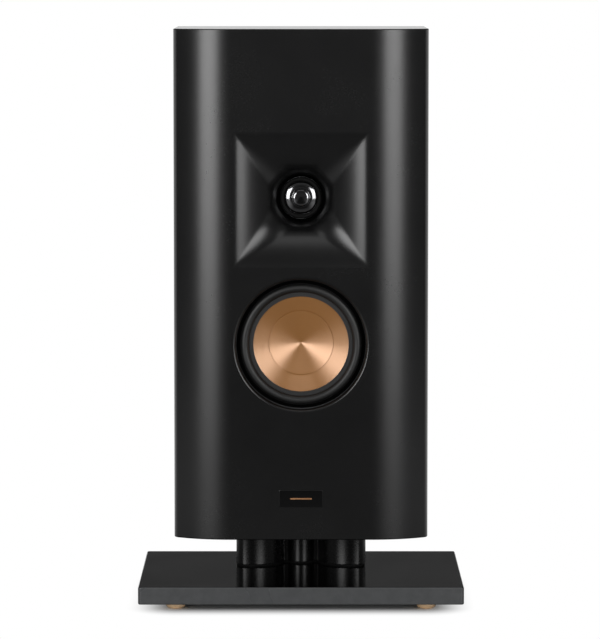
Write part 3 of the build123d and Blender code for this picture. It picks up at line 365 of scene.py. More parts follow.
# Surfaces: a surface is its points, its four-cornered faces and its end caps.
def gridSurface(points, closeRows=False, closeColumns=False):
    # Each face joins a grid point to the next in its row and the two behind them in the next row.
    rows, columns = points.shape[:2]
    index = np.arange(rows * columns).reshape(rows, columns)
    if closeRows:
        index = np.vstack([index, index[:1]])
    if closeColumns:
        index = np.hstack([index, index[:, :1]])
    faces = np.stack([index[:-1, :-1], index[:-1, 1:], index[1:, 1:], index[1:, :-1]], axis=-1)
    return points.reshape(-1, 3), faces.reshape(-1, 4).tolist()


def loopStack(loops, capFirst=True):
    # A stack of closed loops with the same number of points, skinned one to the next and capped flat.
    points = np.array(loops)
    count = points.shape[1]
    verts, faces = gridSurface(points, closeColumns=True)
    if capFirst:
        faces.append(list(range(count)))
    faces.append(list(range(len(verts) - count, len(verts))))
    return verts, faces


def joinSurfaces(surfaces):
    # One surface of several: each one's faces count on from the points before it.
    verts, faces, start = [], [], 0
    for points, sides in surfaces:
        verts.append(points)
        faces += [[corner + start for corner in side] for side in sides]
        start += len(points)
    return np.concatenate(verts), faces


def addPiece(name, surface, body, slot, nodes=(), sharp=40, finish=None):
    # Closes the seams, turns the faces outwards, gives the piece its finish (from its slot unless one is
    # given) and body, and hides the CAD nodes it stands for.
    mesh = bpy.data.meshes.new(name)
    mesh.from_pydata(surface[0].tolist(), [], surface[1])
    work = bmesh.new()
    work.from_mesh(mesh)
    bmesh.ops.remove_doubles(work, verts=work.verts, dist=1e-6)
    bmesh.ops.dissolve_degenerate(work, dist=1e-7, edges=work.edges)
    bmesh.ops.recalc_face_normals(work, faces=work.faces)
    work.to_mesh(mesh)
    work.free()
    mesh.shade_smooth()
    mesh.set_sharp_from_angle(angle=np.radians(sharp))
    mesh.materials.append(finish or finishes[slot])
    piece = bpy.data.objects.new(name, mesh)
    bpy.context.scene.collection.objects.link(piece)
    if body:
        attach(piece, body)  # a piece given no body rides none
    if nodes:
        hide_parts(*nodes)
    return piece


def arc(centre, radius, start, end, steps):
    # Points on a circle from one angle to another, in degrees.
    angle = np.radians(np.linspace(start, end, steps + 1))
    return np.stack([centre[0] + radius * np.cos(angle), centre[1] + radius * np.sin(angle)], axis=1)


def softCorners(corners, radius, steps=5):
    # Closed outline with its corners rounded: each becomes a quadratic curve tangent to both its sides.
    corners = np.array(corners, float)
    radii = np.broadcast_to(np.asarray(radius, float), len(corners))
    points = []
    for k, corner in enumerate(corners):
        before = corners[k - 1] - corner
        after = corners[(k + 1) % len(corners)] - corner
        lengthBefore, lengthAfter = np.linalg.norm(before), np.linalg.norm(after)
        before, after = before / lengthBefore, after / lengthAfter
        half = np.arccos(np.clip(before @ after, -1, 1)) / 2
        cut = min(radii[k] / np.tan(half), 0.45 * lengthBefore, 0.45 * lengthAfter)
        if radii[k] <= 0 or np.pi / 2 - half < 0.02:  # left sharp, or nearly straight
            points.append(corner[None])
            continue
        t = np.linspace(0, 1, steps + 1)[:, None]
        start, end = corner + before * cut, corner + after * cut
        points.append((1 - t) ** 2 * start + 2 * t * (1 - t) * corner + t ** 2 * end)
    return np.concatenate(points)


def turnedY(profile, centre, startY, turns=128, flutes=None):
    # Profile of (radius, depth) in mm carried round an axis along Y.
    profile = np.array(profile, float) * mm
    angle = np.linspace(0, 2 * np.pi, turns, endpoint=False)[:, None]
    radius = np.broadcast_to(profile[:, 0], (turns, len(profile))).copy()
    if flutes:
        dip = np.clip(np.cos(flutes["count"] * angle), 0, 1) * flutes["depth"] * mm
        radius -= dip * np.asarray(flutes["rows"], float)[None]
    depth = np.broadcast_to(startY + profile[:, 1], radius.shape)
    across, up = centre[0] + radius * np.cos(angle), centre[2] + radius * np.sin(angle)
    return gridSurface(np.stack([across, depth, up], axis=-1), closeRows=True, closeColumns=True)


def turnedZ(profile, x, y, turns=64):
    # Profile of (radius, height) in mm carried round an upright axis.
    profile = np.array(profile, float) * mm
    angle = np.linspace(0, 2 * np.pi, turns, endpoint=False)[:, None]
    radius = np.broadcast_to(profile[:, 0], (turns, len(profile)))
    height = np.broadcast_to(profile[:, 1], radius.shape)
    points = np.stack([x + radius * np.cos(angle), y + radius * np.sin(angle), height], axis=-1)
    return gridSurface(points, closeRows=True, closeColumns=True)


# Cabinet: flat front, wide shoulder arcs, small corner arcs, straight sides, closed behind the rear panel.
cabinetShape = {"shoulderRun": 32, "shoulderRadius": 52, "cornerRadius": 6, "rearRadius": 2.2,
                "rimRadius": 0.6, "rimSteps": 7, "arcSteps": (48, 24, 10), "lip": 2.5, "rebate": 5.6,
                "support": 0.25, "sideSupport": 2.0, "bandStart": 6, "bandRows": 8, "backColumns": 9,
                "sideSteps": 32, "pocketDepth": 38}
hornShape = {"half": 37.2, "throat": 11.8, "depth": 21.5, "wallSlope": 0.30, "lipRound": 3.0, "flare": 0.0078,
             "throatPower": 8.5, "mouthCorner": 0.8, "cornerPower": 1.7, "throatShare": 0.985,
             "arcShare": (0.12, 0.84), "rings": 64, "ringPower": 0.85, "wall": 3, "throatStep": 0.6,
             "waist": 0.55, "waistGrow": 1.2, "waistBack": 3.0, "rimShare": 0.995, "rimBack": 1.2}
wooferShape = {"hole": 35.8, "edge": 1.5, "edgeSteps": 9, "flat": 0.4, "land": 0.3,
               "square": 38}  # half the width of the flat front
quarterTurn = np.array([[0, 1], [-1, 0]])  # for row vectors


def fourSides(low):
    # The lowest side of a loop, repeated at each quarter turn.
    sides = [low]
    for _ in range(3):
        sides.append(sides[-1] @ quarterTurn)
    return np.concatenate(sides)


def squareLoop(half, steps):
    # A square of evenly spaced points.
    side = np.linspace(-half, half, steps + 1)[:-1]
    return fourSides(np.stack([side, np.full(steps, -half)], axis=1))


def roundedLoop(half, corner, share, steps):
    # One side runs from the middle of a corner arc along the straight to the middle of the next arc.
    s = np.arange(steps) / steps
    inner = half - corner
    first = np.radians(225 + 45 * np.clip(s / (share / 2), 0, 1))
    last = np.radians(270 + 45 * np.clip((s - 1 + share / 2) / (share / 2), 0, 1))
    straight = np.clip((s - share / 2) / (1 - share), 0, 1)
    x = np.where(s < share / 2, -inner + corner * np.cos(first),
                 np.where(s > 1 - share / 2, inner + corner * np.cos(last), -inner + 2 * inner * straight))
    y = np.where(s < share / 2, -inner + corner * np.sin(first),
                 np.where(s > 1 - share / 2, -inner + corner * np.sin(last), -half))
    return fourSides(np.stack([x, y], axis=1))


def onFront(loop, depth, centre):
    # Flat (x, z) loop in mm, set on the front around a driver's centre at a depth.
    loop = np.asarray(loop) * mm
    y = np.full(len(loop), frontY + depth * mm)
    return np.stack([centre[0] + loop[:, 0], y, centre[2] + loop[:, 1]], axis=1)


def hornLoop(run):
    # Square at the mouth and round at the throat: the corners' share grows with a power of the run inwards.
    full = hornShape["half"] - hornShape["throat"]
    atMouth = hornShape["mouthCorner"] / hornShape["half"]
    roundness = atMouth + (hornShape["throatShare"] - atMouth) * (run / full) ** hornShape["cornerPower"]
    half = hornShape["half"] - run
    least, growth = hornShape["arcShare"]
    return roundedLoop(half, roundness * half, least + growth * roundness, cabinetShape["sideSteps"])


def hornDepth(run):
    # Sloped wall with a soft start and a square-law flare, and a high power that drops into the throat.
    full = hornShape["half"] - hornShape["throat"]
    soft = hornShape["lipRound"]

    def wall(t):
        return hornShape["wallSlope"] * (t - soft * (1 - np.exp(-t / soft))) + hornShape["flare"] * t ** 2

    return wall(run) + (hornShape["depth"] - wall(full)) * (run / full) ** hornShape["throatPower"]


def cabinetSide():
    # Right-hand outline from the front's flat to the back, with its outward normals.
    c = cabinetShape
    half, front, back = cabinetHigh[0] / mm, cabinetLow[1] / mm, cabinetHigh[1] / mm
    flat = half - c["shoulderRun"]
    between = c["shoulderRadius"] - c["cornerRadius"]
    turn = np.degrees(np.arcsin((c["shoulderRun"] - c["cornerRadius"]) / between))
    bigCentre = (flat, front + c["shoulderRadius"])
    smallY = bigCentre[1] - between * np.cos(np.radians(turn))
    steps = c["arcSteps"]
    pieces = [(bigCentre, c["shoulderRadius"], -90, turn - 90, steps[0]),
              ((half - c["cornerRadius"], smallY), c["cornerRadius"], turn - 90, 0, steps[1]),
              ((half - c["rearRadius"], back - c["rearRadius"]), c["rearRadius"], 0, 90, steps[2])]
    points = [arc(*piece) for piece in pieces]
    normals = [arc((0, 0), 1, piece[2], piece[3], piece[4]) for piece in pieces]
    points[1], normals[1] = points[1][1:], normals[1][1:]
    support = points[1][-1] + np.array([[0, c["sideSupport"]]])  # keeps the long side flat next to its arc
    points.insert(2, support)
    normals.insert(2, np.array([[1.0, 0.0]]))
    return np.concatenate(points), np.concatenate(normals)


def cabinetSurface():
    # Flat bands, two openings, shoulders, rims and back, which share their rows and columns of points.
    c, w = cabinetShape, wooferShape
    rim, steps = c["rimRadius"], c["sideSteps"]
    low, high = cabinetLow[2] / mm, cabinetHigh[2] / mm
    front, back = cabinetLow[1] / mm, cabinetHigh[1] / mm
    wooferZ, hornZ, square = woofer[2] / mm, horn[2] / mm, w["square"]
    sideRows = np.linspace(-square, square, steps + 1)
    support, start, count = c["support"], c["bandStart"], c["bandRows"]
    lowBand = np.linspace(low + start, wooferZ - square, count)
    topBand = np.linspace(hornZ + square, high - start, count)
    lowRows = np.concatenate([[low + rim, low + rim + support], lowBand])
    topRows = np.concatenate([topBand, [high - rim - support, high - rim]])
    xs = np.linspace(-square, square, steps + 1)

    def flatBand(rows):
        x, z = np.meshgrid(xs, rows)
        return gridSurface(np.stack([x, np.full_like(x, front), z], axis=-1) * mm)

    parts = [flatBand(lowRows), flatBand(topRows), flatBand(np.array([wooferZ + square, hornZ - square]))]

    # Woofer opening: square to circle, over the round edge and back into a closed pocket.
    outer = squareLoop(square, steps)
    angle = np.arctan2(outer[:, 1], outer[:, 0])
    circle = np.stack([np.cos(angle), np.sin(angle)], axis=1)
    edge = [(w["hole"] + w["edge"] * (1 - np.sin(a)), w["edge"] * (1 - np.cos(a)))
            for a in np.linspace(0, np.pi / 2, w["edgeSteps"])]
    rings = [(w["hole"] + w["edge"] + w["flat"], 0.0), *edge, (w["hole"], w["edge"] + w["land"]),
             (w["hole"], c["pocketDepth"])]
    loops = [onFront(outer, 0, woofer)] + [onFront(circle * r, d, woofer) for r, d in rings]
    parts.append(loopStack(loops, capFirst=False))

    # Horn mouth: square to the mouth's edge, then straight back into a closed pocket behind the flare.
    mouth = hornLoop(0.0)
    loops = [onFront(outer, 0, horn), onFront(mouth, 0, horn), onFront(mouth, c["pocketDepth"], horn)]
    parts.append(loopStack(loops, capFirst=False))

    # Shoulders and sides.
    outline, normals = cabinetSide()
    rows = np.unique(np.round(np.concatenate([lowRows, wooferZ + sideRows, hornZ + sideRows, topRows]), 6))
    for side in (1, -1):
        x = np.broadcast_to(side * outline[:, 0], (len(rows), len(outline)))
        y = np.broadcast_to(outline[:, 1], x.shape)
        z = np.broadcast_to(rows[:, None], x.shape)
        parts.append(gridSurface(np.stack([x, y, z], axis=-1) * mm))

    # Rims: the whole outline rolls over the top and the bottom, then a flat cap.
    backX = np.linspace(outline[-1, 0], -outline[-1, 0], c["backColumns"])
    mirror = np.array([-1, 1])
    frontLine = np.stack([xs, np.full_like(xs, front)], axis=1)[:-1]
    backLine = np.stack([backX, np.full_like(backX, back)], axis=1)[1:-1]
    loop = np.concatenate([frontLine, outline, backLine, (outline * mirror)[:0:-1]])
    lean = np.concatenate([np.tile([0.0, -1.0], (len(frontLine), 1)), normals,
                           np.tile([0.0, 1.0], (len(backLine), 1)), (normals * mirror)[:0:-1]])
    lean[0] = (0.0, -1.0)
    for edgeZ, way in ((high, 1), (low, -1)):
        swing = np.linspace(0, np.pi / 2, c["rimSteps"])
        rolled = [(rim * (1 - np.cos(a)), edgeZ - way * rim * (1 - np.sin(a))) for a in swing]
        rolled.append((rim + support, edgeZ))
        loops = [np.column_stack([loop - lean * inset, np.full(len(loop), z)]) * mm for inset, z in rolled]
        parts.append(loopStack(loops, capFirst=False))

    # Back: a narrow lip round the rebate, and the rebate's floor behind the panel.
    lip = c["lip"]
    inX = cabinetHigh[0] / mm - lip
    scale = (rows - rows[0]) / (rows[-1] - rows[0])
    inZ = low + lip + scale * (high - low - 2 * lip)
    inBackX = backX / backX[0] * inX

    def backLoop(edgeX, zs, across, y):
        right = np.column_stack([np.full_like(zs, edgeX), np.full_like(zs, y), zs])
        top = np.column_stack([across, np.full_like(across, y), np.full_like(across, zs[-1])])
        left = right[::-1] * np.array([-1, 1, 1])
        bottom = top[::-1] * np.array([1, 1, 0]) + np.array([0, 0, zs[0]])
        return np.concatenate([right[:-1], top[:-1], left[:-1], bottom[:-1]]) * mm

    loops = [backLoop(backX[0], rows, backX, back), backLoop(inX, inZ, inBackX, back),
             backLoop(inX, inZ, inBackX, back - c["rebate"])]
    parts.append(loopStack(loops, capFirst=False))
    return joinSurfaces(parts)


addPiece("cabinetBody", cabinetSurface(), "cabinet", "black_lacquer", ["cabinet_shell"])


def hornSurface():
    # The flare from the mouth's edge to the throat, then back along the outside to the mouth.
    h = hornShape
    full = h["half"] - h["throat"]
    runs = full * np.linspace(0, 1, h["rings"]) ** h["ringPower"]
    loops = [onFront(hornLoop(run), hornDepth(run), horn) for run in runs]
    throat, throatEnd = hornLoop(full), h["depth"] + h["throatStep"]
    waist = full * h["waist"]
    loops += [onFront(throat, throatEnd, horn),
              onFront(throat * (1 + h["wall"] / h["throat"]), throatEnd, horn),
              onFront(hornLoop(waist) * h["waistGrow"], hornDepth(waist) + h["waistBack"], horn),
              onFront(hornLoop(0.0) * h["rimShare"], h["rimBack"], horn)]
    return gridSurface(np.array(loops), closeRows=True, closeColumns=True)


addPiece("hornFlare", hornSurface(), "cabinet", "horn_plastic", ["tweeter_horn"], sharp=50)
print("cabinet and horn done")


# Tweeter: a dome with a pressed groove, and its roll.
domeShape = {"radius": 9.0, "capFlat": 3.3, "capSlope": (7.0, 30.0), "capEdge": 4.6, "capBlend": 0.1,
             "grooveSlope": (34.0, -6.0), "grooveBlend": 0.15, "ringStart": 5.3, "ringSlope": (3.0, 24.0),
             "ringEdge": 8.6, "rimSlope": 58.0, "skin": 0.25, "poleGap": 0.02, "rim": 21.5,
             "rollInner": 9.1, "rollOuter": 11.6, "step": 0.05}


def domeProfile():
    # Slope over the radius, summed inwards from the rim: cap, pressed groove, outer crown and a steep edge.
    s = domeShape
    capEdge, ringStart = s["capEdge"], s["ringStart"]
    radius = np.concatenate([np.linspace(0, capEdge, 40), np.linspace(capEdge + s["step"], ringStart, 16),
                             np.linspace(ringStart + s["step"], s["radius"], 50)])
    groove = (capEdge + ringStart) / 2
    places = [0, s["capFlat"], capEdge - s["capBlend"], groove - s["grooveBlend"], groove + s["grooveBlend"],
              ringStart + s["capBlend"], s["ringEdge"], s["radius"]]
    slopes = [0, *s["capSlope"], *s["grooveSlope"], *s["ringSlope"], s["rimSlope"]]
    fall = np.tan(np.radians(np.interp(radius, places, slopes)))
    steps = (fall[1:] + fall[:-1]) / 2 * np.diff(radius)
    rise = np.concatenate([np.cumsum(steps[::-1])[::-1], [0.0]])
    front = np.column_stack([radius, s["rim"] - rise])
    rear = np.column_stack([radius * (1 - s["skin"] / s["radius"]), s["rim"] - rise + s["skin"]])
    rear[:, 1] = np.minimum(rear[:, 1], s["rim"] - s["poleGap"])  # stays in front of the pole at full travel
    return np.concatenate([front, rear[::-1]])


addPiece("tweeterDome", turnedY(domeProfile(), horn, frontY, turns=96), "tweeter_diaphragm", "black_dome",
         ["tweeter_dome"])


def rollProfile(inner, outer, seat, skin, lipIn, lipOut):
    # Half circle between two flat lips, with its skin.
    middle, radius = (inner + outer) / 2, (outer - inner) / 2
    crown = arc((middle, seat - skin), radius, 180, 360, 28)
    hollow = arc((middle, seat), radius - skin, 360, 180, 24)
    ends = [[outer + lipOut, seat - skin], [outer + lipOut, seat]] if lipOut else []
    starts = [[inner - lipIn, seat], [inner - lipIn, seat - skin]] if lipIn else []
    return np.concatenate([part for part in (crown, np.array(ends), hollow, np.array(starts)) if len(part)])


def radialBlend(piece, centre):
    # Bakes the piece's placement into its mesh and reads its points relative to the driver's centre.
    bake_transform(piece)
    points = np.empty(len(piece.data.vertices) * 3)
    piece.data.vertices.foreach_get("co", points)
    points = points.reshape(-1, 3) - centre


roll = rollProfile(domeShape["rollInner"], domeShape["rollOuter"], domeShape["rim"], domeShape["skin"], 0, 0)
tweeterRoll = addPiece("tweeterRoll", turnedY(roll, horn, frontY, turns=96), None, "black_dome",
                       ["tweeter_surround"], finish=domeRollFinish)
radialBlend(tweeterRoll, horn)

# Woofer: roll, spun cone and shallow dish.
coneShape = {"radius": 26.2, "lip": 28.2, "start": 6.1, "slope": 0.759, "neck": 13.05, "skin": 0.6,
             "edgeSoft": 0.1, "bendSoft": 0.4, "rollInner": 28.5, "rollOuter": 33.3, "seat": 6.0,
             "rollSkin": 0.6, "lipOut": 2.0, "lipIn": 2.3}
dishShape = {"radius": 17.7, "drop": 3.0, "skin": 0.5, "gap": 0.05, "apexRound": 1.2, "rimRun": 0.5,
             "rimDrop": 0.1, "rimSkin": 0.15}


def coneProfile():
    # Flat lip, then a straight slope down to the neck, and the same line one skin further back.
    s = coneShape
    atNeck = s["start"] + s["slope"] * (s["radius"] - s["neck"])
    front = np.array([[s["lip"], s["start"]], [s["radius"], s["start"]], [s["neck"], atNeck]])
    rear = front[::-1] + np.array([0, s["skin"]])
    edge, bend = s["edgeSoft"], s["bendSoft"]
    return softCorners(np.concatenate([front, rear]), [edge, bend, edge, edge, bend, edge])


def dishProfile():
    # Shallow cone with a softly rounded middle and a small rolled rim.
    c, s = coneShape, dishShape
    rim = c["start"] + c["slope"] * (c["radius"] - s["radius"]) - s["skin"] - s["gap"]
    radius = np.linspace(0, s["radius"], 60)
    fall = s["drop"] * (1 - np.sqrt(radius ** 2 + s["apexRound"] ** 2) / s["radius"])
    edge = s["rimDrop"] * np.clip((radius - s["radius"] + s["rimRun"]) / s["rimRun"], 0, 1) ** 2
    front = np.column_stack([radius, rim + np.clip(fall, 0, None) + edge])
    rear = front[::-1] + np.array([0, s["skin"]])
    rear[0, 1] = front[-1, 1] + s["rimSkin"]
    return np.concatenate([front, rear])


addPiece("wooferCone", turnedY(coneProfile(), woofer, frontY, turns=192), "woofer_diaphragm", "copper_cone",
         ["woofer_cone"])
addPiece("wooferDish", turnedY(dishProfile(), woofer, frontY, turns=192), "woofer_diaphragm", "copper_cone",
         ["woofer_dust_cap"])
roll = rollProfile(coneShape["rollInner"], coneShape["rollOuter"], coneShape["seat"], coneShape["rollSkin"],
                   coneShape["lipIn"], coneShape["lipOut"])
wooferRoll = addPiece("wooferRoll", turnedY(roll, woofer, frontY, turns=160), None, "rubber",
                      ["woofer_surround"], finish=surroundRubber)
radialBlend(wooferRoll, woofer)

# Spider: a corrugated cloth disc behind the cone.
spiderShape = {"inner": 13.1, "ledge": 24.0, "folds": 5, "wave": 0.8, "bend": 0.8, "skin": 0.5}
spiderLow, spiderHigh = nodeBox("woofer_spider")


def spiderProfile():
    # Zigzag between the former and the ledge, softened, with the same zigzag one skin further back.
    s = spiderShape
    flat = (spiderLow[1] - frontY) / mm + s["wave"]
    count = 2 * s["folds"]
    radius = np.append(np.linspace(s["inner"], s["ledge"], count + 2), spiderHigh[0] / mm)
    lift = s["wave"] * (-1.0) ** np.arange(count)
    front = np.column_stack([radius, np.concatenate([[flat], flat + lift, [flat, flat]])])
    rear = front[::-1] + np.array([0, s["skin"]])
    bends = [s["bend"]] * count
    return softCorners(np.concatenate([front, rear]), [0, *bends, 0, 0, 0, 0, *bends, 0], steps=4)


wooferSpider = addPiece("wooferSpider", turnedY(spiderProfile(), woofer, frontY, turns=128), None,
                        "treated_cloth", ["woofer_spider"])
radialBlend(wooferSpider, woofer)
print("drivers done")


# Badge: a bare bevelled plate with a plain copper bar.
badgeShape = {"corner": 0.6, "bevel": 0.25, "barWidth": 12.0, "barHeight": 0.8, "barRise": 0.08,
              "barRoot": 0.2, "barCorner": 0.3, "barBevel": 0.05}
edgeSwing = np.linspace(0, np.pi / 2, 6)  # the steps of a rounded edge


def frontSlab(centre, halfX, halfZ, backY, faceY, corner, bevel):
    # Rounded rectangle carried from back to face, with a rounded edge at the face.
    base = np.array([[-halfX, -halfZ], [halfX, -halfZ], [halfX, halfZ], [-halfX, halfZ]])
    steps = [(0.0, backY)] + [(bevel * (1 - np.cos(a)), faceY + bevel * (1 - np.sin(a))) for a in edgeSwing]
    steps.append((bevel * 1.6, faceY))  # keeps the face flat next to its edge
    loops = []
    for inset, y in steps:
        flat = softCorners(base * (1 - inset / np.array([halfX, halfZ])), corner)
        loop = np.column_stack([flat[:, 0], np.full(len(flat), y), flat[:, 1]]) * mm
        loops.append(loop + np.array([centre[0], 0, centre[2]]))
    return loopStack(loops)


badgeLow, badgeHigh = nodeBox("badge")
badgeMiddle = (badgeLow + badgeHigh) / 2
badgeHalf = (badgeHigh - badgeLow) / 2 / mm
badgeFace = badgeLow[1] / mm
badgePlate = frontSlab(badgeMiddle, badgeHalf[0], badgeHalf[2], badgeHigh[1] / mm, badgeFace,
                       badgeShape["corner"], badgeShape["bevel"])
addPiece("badgePlate", badgePlate, "cabinet", "black_trim", ["badge"])
badgeBar = frontSlab(badgeMiddle, badgeShape["barWidth"] / 2, badgeShape["barHeight"] / 2,
                     badgeFace + badgeShape["barRoot"], badgeFace - badgeShape["barRise"],
                     badgeShape["barCorner"], badgeShape["barBevel"])
addPiece("badgeBar", badgeBar, "cabinet", "copper", finish=barFinish)

# Neck: two lobes cut flat at their sides, a web and a thin pillar, front and back alike.
neckShape = {"lobeX": 28.0, "lobeRadius": 19.0, "reach": 8.5, "corner": 6.0, "pillar": 7.7, "web": 2.5,
             "bevel": 0.35}


def neckOutline():
    # A quarter is a corner arc, the lobe's arc tangent to it, a straight web and the pillar's arc.
    # It is mirrored across both axes.
    s = neckShape
    inner = s["lobeRadius"] - s["corner"]
    cornerX = s["reach"] - s["corner"]
    cornerY = -np.sqrt(inner ** 2 - cornerX ** 2)
    turn = np.degrees(np.arctan2(cornerY, cornerX))
    cornerCentre = (s["lobeX"] + cornerX, cornerY)
    webTurn = -180 + np.degrees(np.arcsin(s["web"] / s["lobeRadius"]))
    pillarTurn = -np.degrees(np.arcsin(s["web"] / s["pillar"]))
    quarter = np.concatenate([arc(cornerCentre, s["corner"], 0, turn, 16),
                              arc((s["lobeX"], 0), s["lobeRadius"], turn, webTurn, 40)[1:],
                              arc((0, 0), s["pillar"], pillarTurn, -90, 10)])
    frontHalf = np.concatenate([quarter, (quarter * np.array([-1, 1]))[-2::-1]])
    return np.concatenate([frontHalf, (frontHalf * np.array([1, -1]))[::-1]])[::-1]


def uprightStack(outline, centreX, centreY, low, high, bevel, support=0.3):
    # Outline carried up from low to high with rounded edges: each loop is drawn in along its normals.
    after = np.roll(outline, -1, axis=0) - outline
    after /= np.linalg.norm(after, axis=1)[:, None]
    along = after + np.roll(after, 1, axis=0)
    along /= np.linalg.norm(along, axis=1)[:, None]
    outward = np.column_stack([along[:, 1], -along[:, 0]])
    edge = [(bevel * (1 - np.cos(a)), bevel * (1 - np.sin(a))) for a in edgeSwing]
    steps = [(bevel + support, low)] + [(inset, low + rise) for inset, rise in edge[::-1]]
    steps += [(0.0, low + bevel + support), (0.0, high - bevel - support)]
    steps += [(inset, high - rise) for inset, rise in edge] + [(bevel + support, high)]
    loops = [np.column_stack([outline - outward * inset, np.full(len(outline), z)]) for inset, z in steps]
    return loopStack(np.array(loops) * mm + np.array([centreX, centreY, 0]))


neckMiddle = (neckLow + neckHigh) / 2
neckBody = uprightStack(neckOutline(), neckMiddle[0], neckMiddle[1], neckLow[2] / mm, neckHigh[2] / mm,
                        neckShape["bevel"])
addPiece("neckBody", neckBody, "cabinet", "black_lacquer", ["neck"], finish=neckFinish)

# Base plate and turned feet.
plateShape = {"corner": 1.8, "bevel": 0.7}
plateHalf = (plateHigh - plateLow)[:2] / 2 / mm
corners = np.array([[-1, -1], [1, -1], [1, 1], [-1, 1]]) * plateHalf
plateOutline = softCorners(corners, plateShape["corner"], steps=8)
basePlate = uprightStack(plateOutline, 0, 0, plateLow[2] / mm, plateHigh[2] / mm, plateShape["bevel"])
addPiece("basePlate", basePlate, "cabinet", "black_plate", ["base_plate"])
footShape = {"radius": 5.4, "tip": 3.1, "rim": 2.7, "groove": 0.25, "grooveRows": (0.4, 0.7, 1.0, 1.3),
             "bulge": (0.98, 0.28), "soft": 0.08}
feetHigh = nodeBox("feet")[1]
footTop = plateLow[2] / mm
footX, footY = feetHigh[0] - footShape["radius"] * mm, feetHigh[1] - footShape["radius"] * mm


def footProfile():
    # A quadratic bowl from the tip to the shoulder, then a straight rim with a groove.
    s = footShape
    radius, inGroove = s["radius"], s["radius"] - s["groove"]
    shoulder = footTop - s["rim"]
    bowl = np.linspace(0, 1, 14)[:, None]
    bottom = np.array([s["tip"], 0.0])
    bend = np.array([radius * s["bulge"][0], shoulder * s["bulge"][1]])
    top = np.array([radius, shoulder])
    curve = (1 - bowl) ** 2 * bottom + 2 * bowl * (1 - bowl) * bend + bowl ** 2 * top
    rows = [shoulder + row for row in s["grooveRows"]]
    side = softCorners([[radius, rows[0]], [inGroove, rows[1]], [inGroove, rows[2]], [radius, rows[3]],
                        [radius, footTop], [0, footTop], [0, 0], [s["tip"], 0]], s["soft"], steps=3)
    return np.concatenate([curve, side[:-4]])  # without the corner at the tip


feetSurfaces = [turnedZ(footProfile(), i * footX, k * footY) for i in (-1, 1) for k in (-1, 1)]
addPiece("turnedFeet", joinSurfaces(feetSurfaces), "cabinet", "copper", ["feet"])
print("stand done")


# Back: terminal cup and the fluted caps of the posts.
cupShape = {"radius": 24, "wall": 2, "draft": 0.6, "floor": 2.5, "depth": 18.6, "flange": 30,
            "flangeThick": 2, "softs": (0, 0.3, 0.1, 0.3, 0.6, 0.6, 1.5, 0)}
capShape = {"bore": 4.3, "radius": 6.26, "mouth": 3.4, "lip": 1.2, "flutes": 12, "fluteDepth": 0.55,
            "plain": 2.9, "blend": 0.4, "crown": 1.0, "rimBand": 0.7,
            "softs": (0.1, 0.4, 0, 0, 0, 0.6, 0.3, 0.1, 0.1)}


def cupProfile():
    # Flat floor, drafted wall and flat flange, each corner with its own rounding.
    s = cupShape
    top, inside = s["depth"] + s["flangeThick"], s["radius"] - s["wall"]
    corners = [[0, 0], [s["radius"], 0], [s["radius"], s["depth"]], [s["flange"], s["depth"]],
               [s["flange"], top], [inside, top], [inside - s["draft"], s["floor"]], [0, s["floor"]]]
    return softCorners(corners, s["softs"], steps=6)


def capProfile(length):
    # Tube with a plain collar, a fluted grip and a narrower mouth at its end.
    s = capShape
    radius, lip = s["radius"], length - s["lip"]
    corners = [[s["bore"], 0], [radius, 0], [radius, s["plain"] - s["blend"]],
               [radius, s["plain"] + s["blend"]], [radius, length - s["crown"]], [radius, length],
               [s["mouth"], length], [s["mouth"], lip], [s["bore"], lip]]
    return softCorners(corners, s["softs"], steps=5)


cupLow, cupHigh = nodeBox("terminal_cup")
cupMiddle = (cupLow + cupHigh) / 2
addPiece("terminalCup", turnedY(cupProfile(), cupMiddle, cupLow[1], turns=128), "cabinet", "cup_plastic",
         ["terminal_cup"])
for colour in ("red", "black"):
    capLow, capHigh = nodeBox(colour + "_post_cap")
    outline = capProfile((capHigh[1] - capLow[1]) / mm)
    onGrip = (outline[:, 0] > capShape["radius"] - capShape["rimBand"]) & (outline[:, 1] > capShape["plain"])
    flutes = {"count": capShape["flutes"], "depth": capShape["fluteDepth"], "rows": onGrip}
    postCap = turnedY(outline, (capLow + capHigh) / 2, capLow[1], turns=144, flutes=flutes)
    addPiece(colour + "PostCap", postCap, colour + "_cap", colour + "_plastic", [colour + "_post_cap"])
print("back done")


# Stage: a wide pale floor that stays white far off and keeps the shadow close by.
stageLook = {"reach": 60.0, "columns": 9, "pale": 0.86, "shadowReach": 0.03, "sideFade": 0.022,
             "frontFade": 0.02, "mirrorStart": 0.0, "mirrorEnd": 0.3, "dimReach": (0.15, 0.7),
             "dimming": (0.6, 0.97), "sideGlow": 0.4, "sideReach": (0.15, 0.35), "nearReach": (0.2, 1.6),
             "nearShare": (0.9, 0.1)}


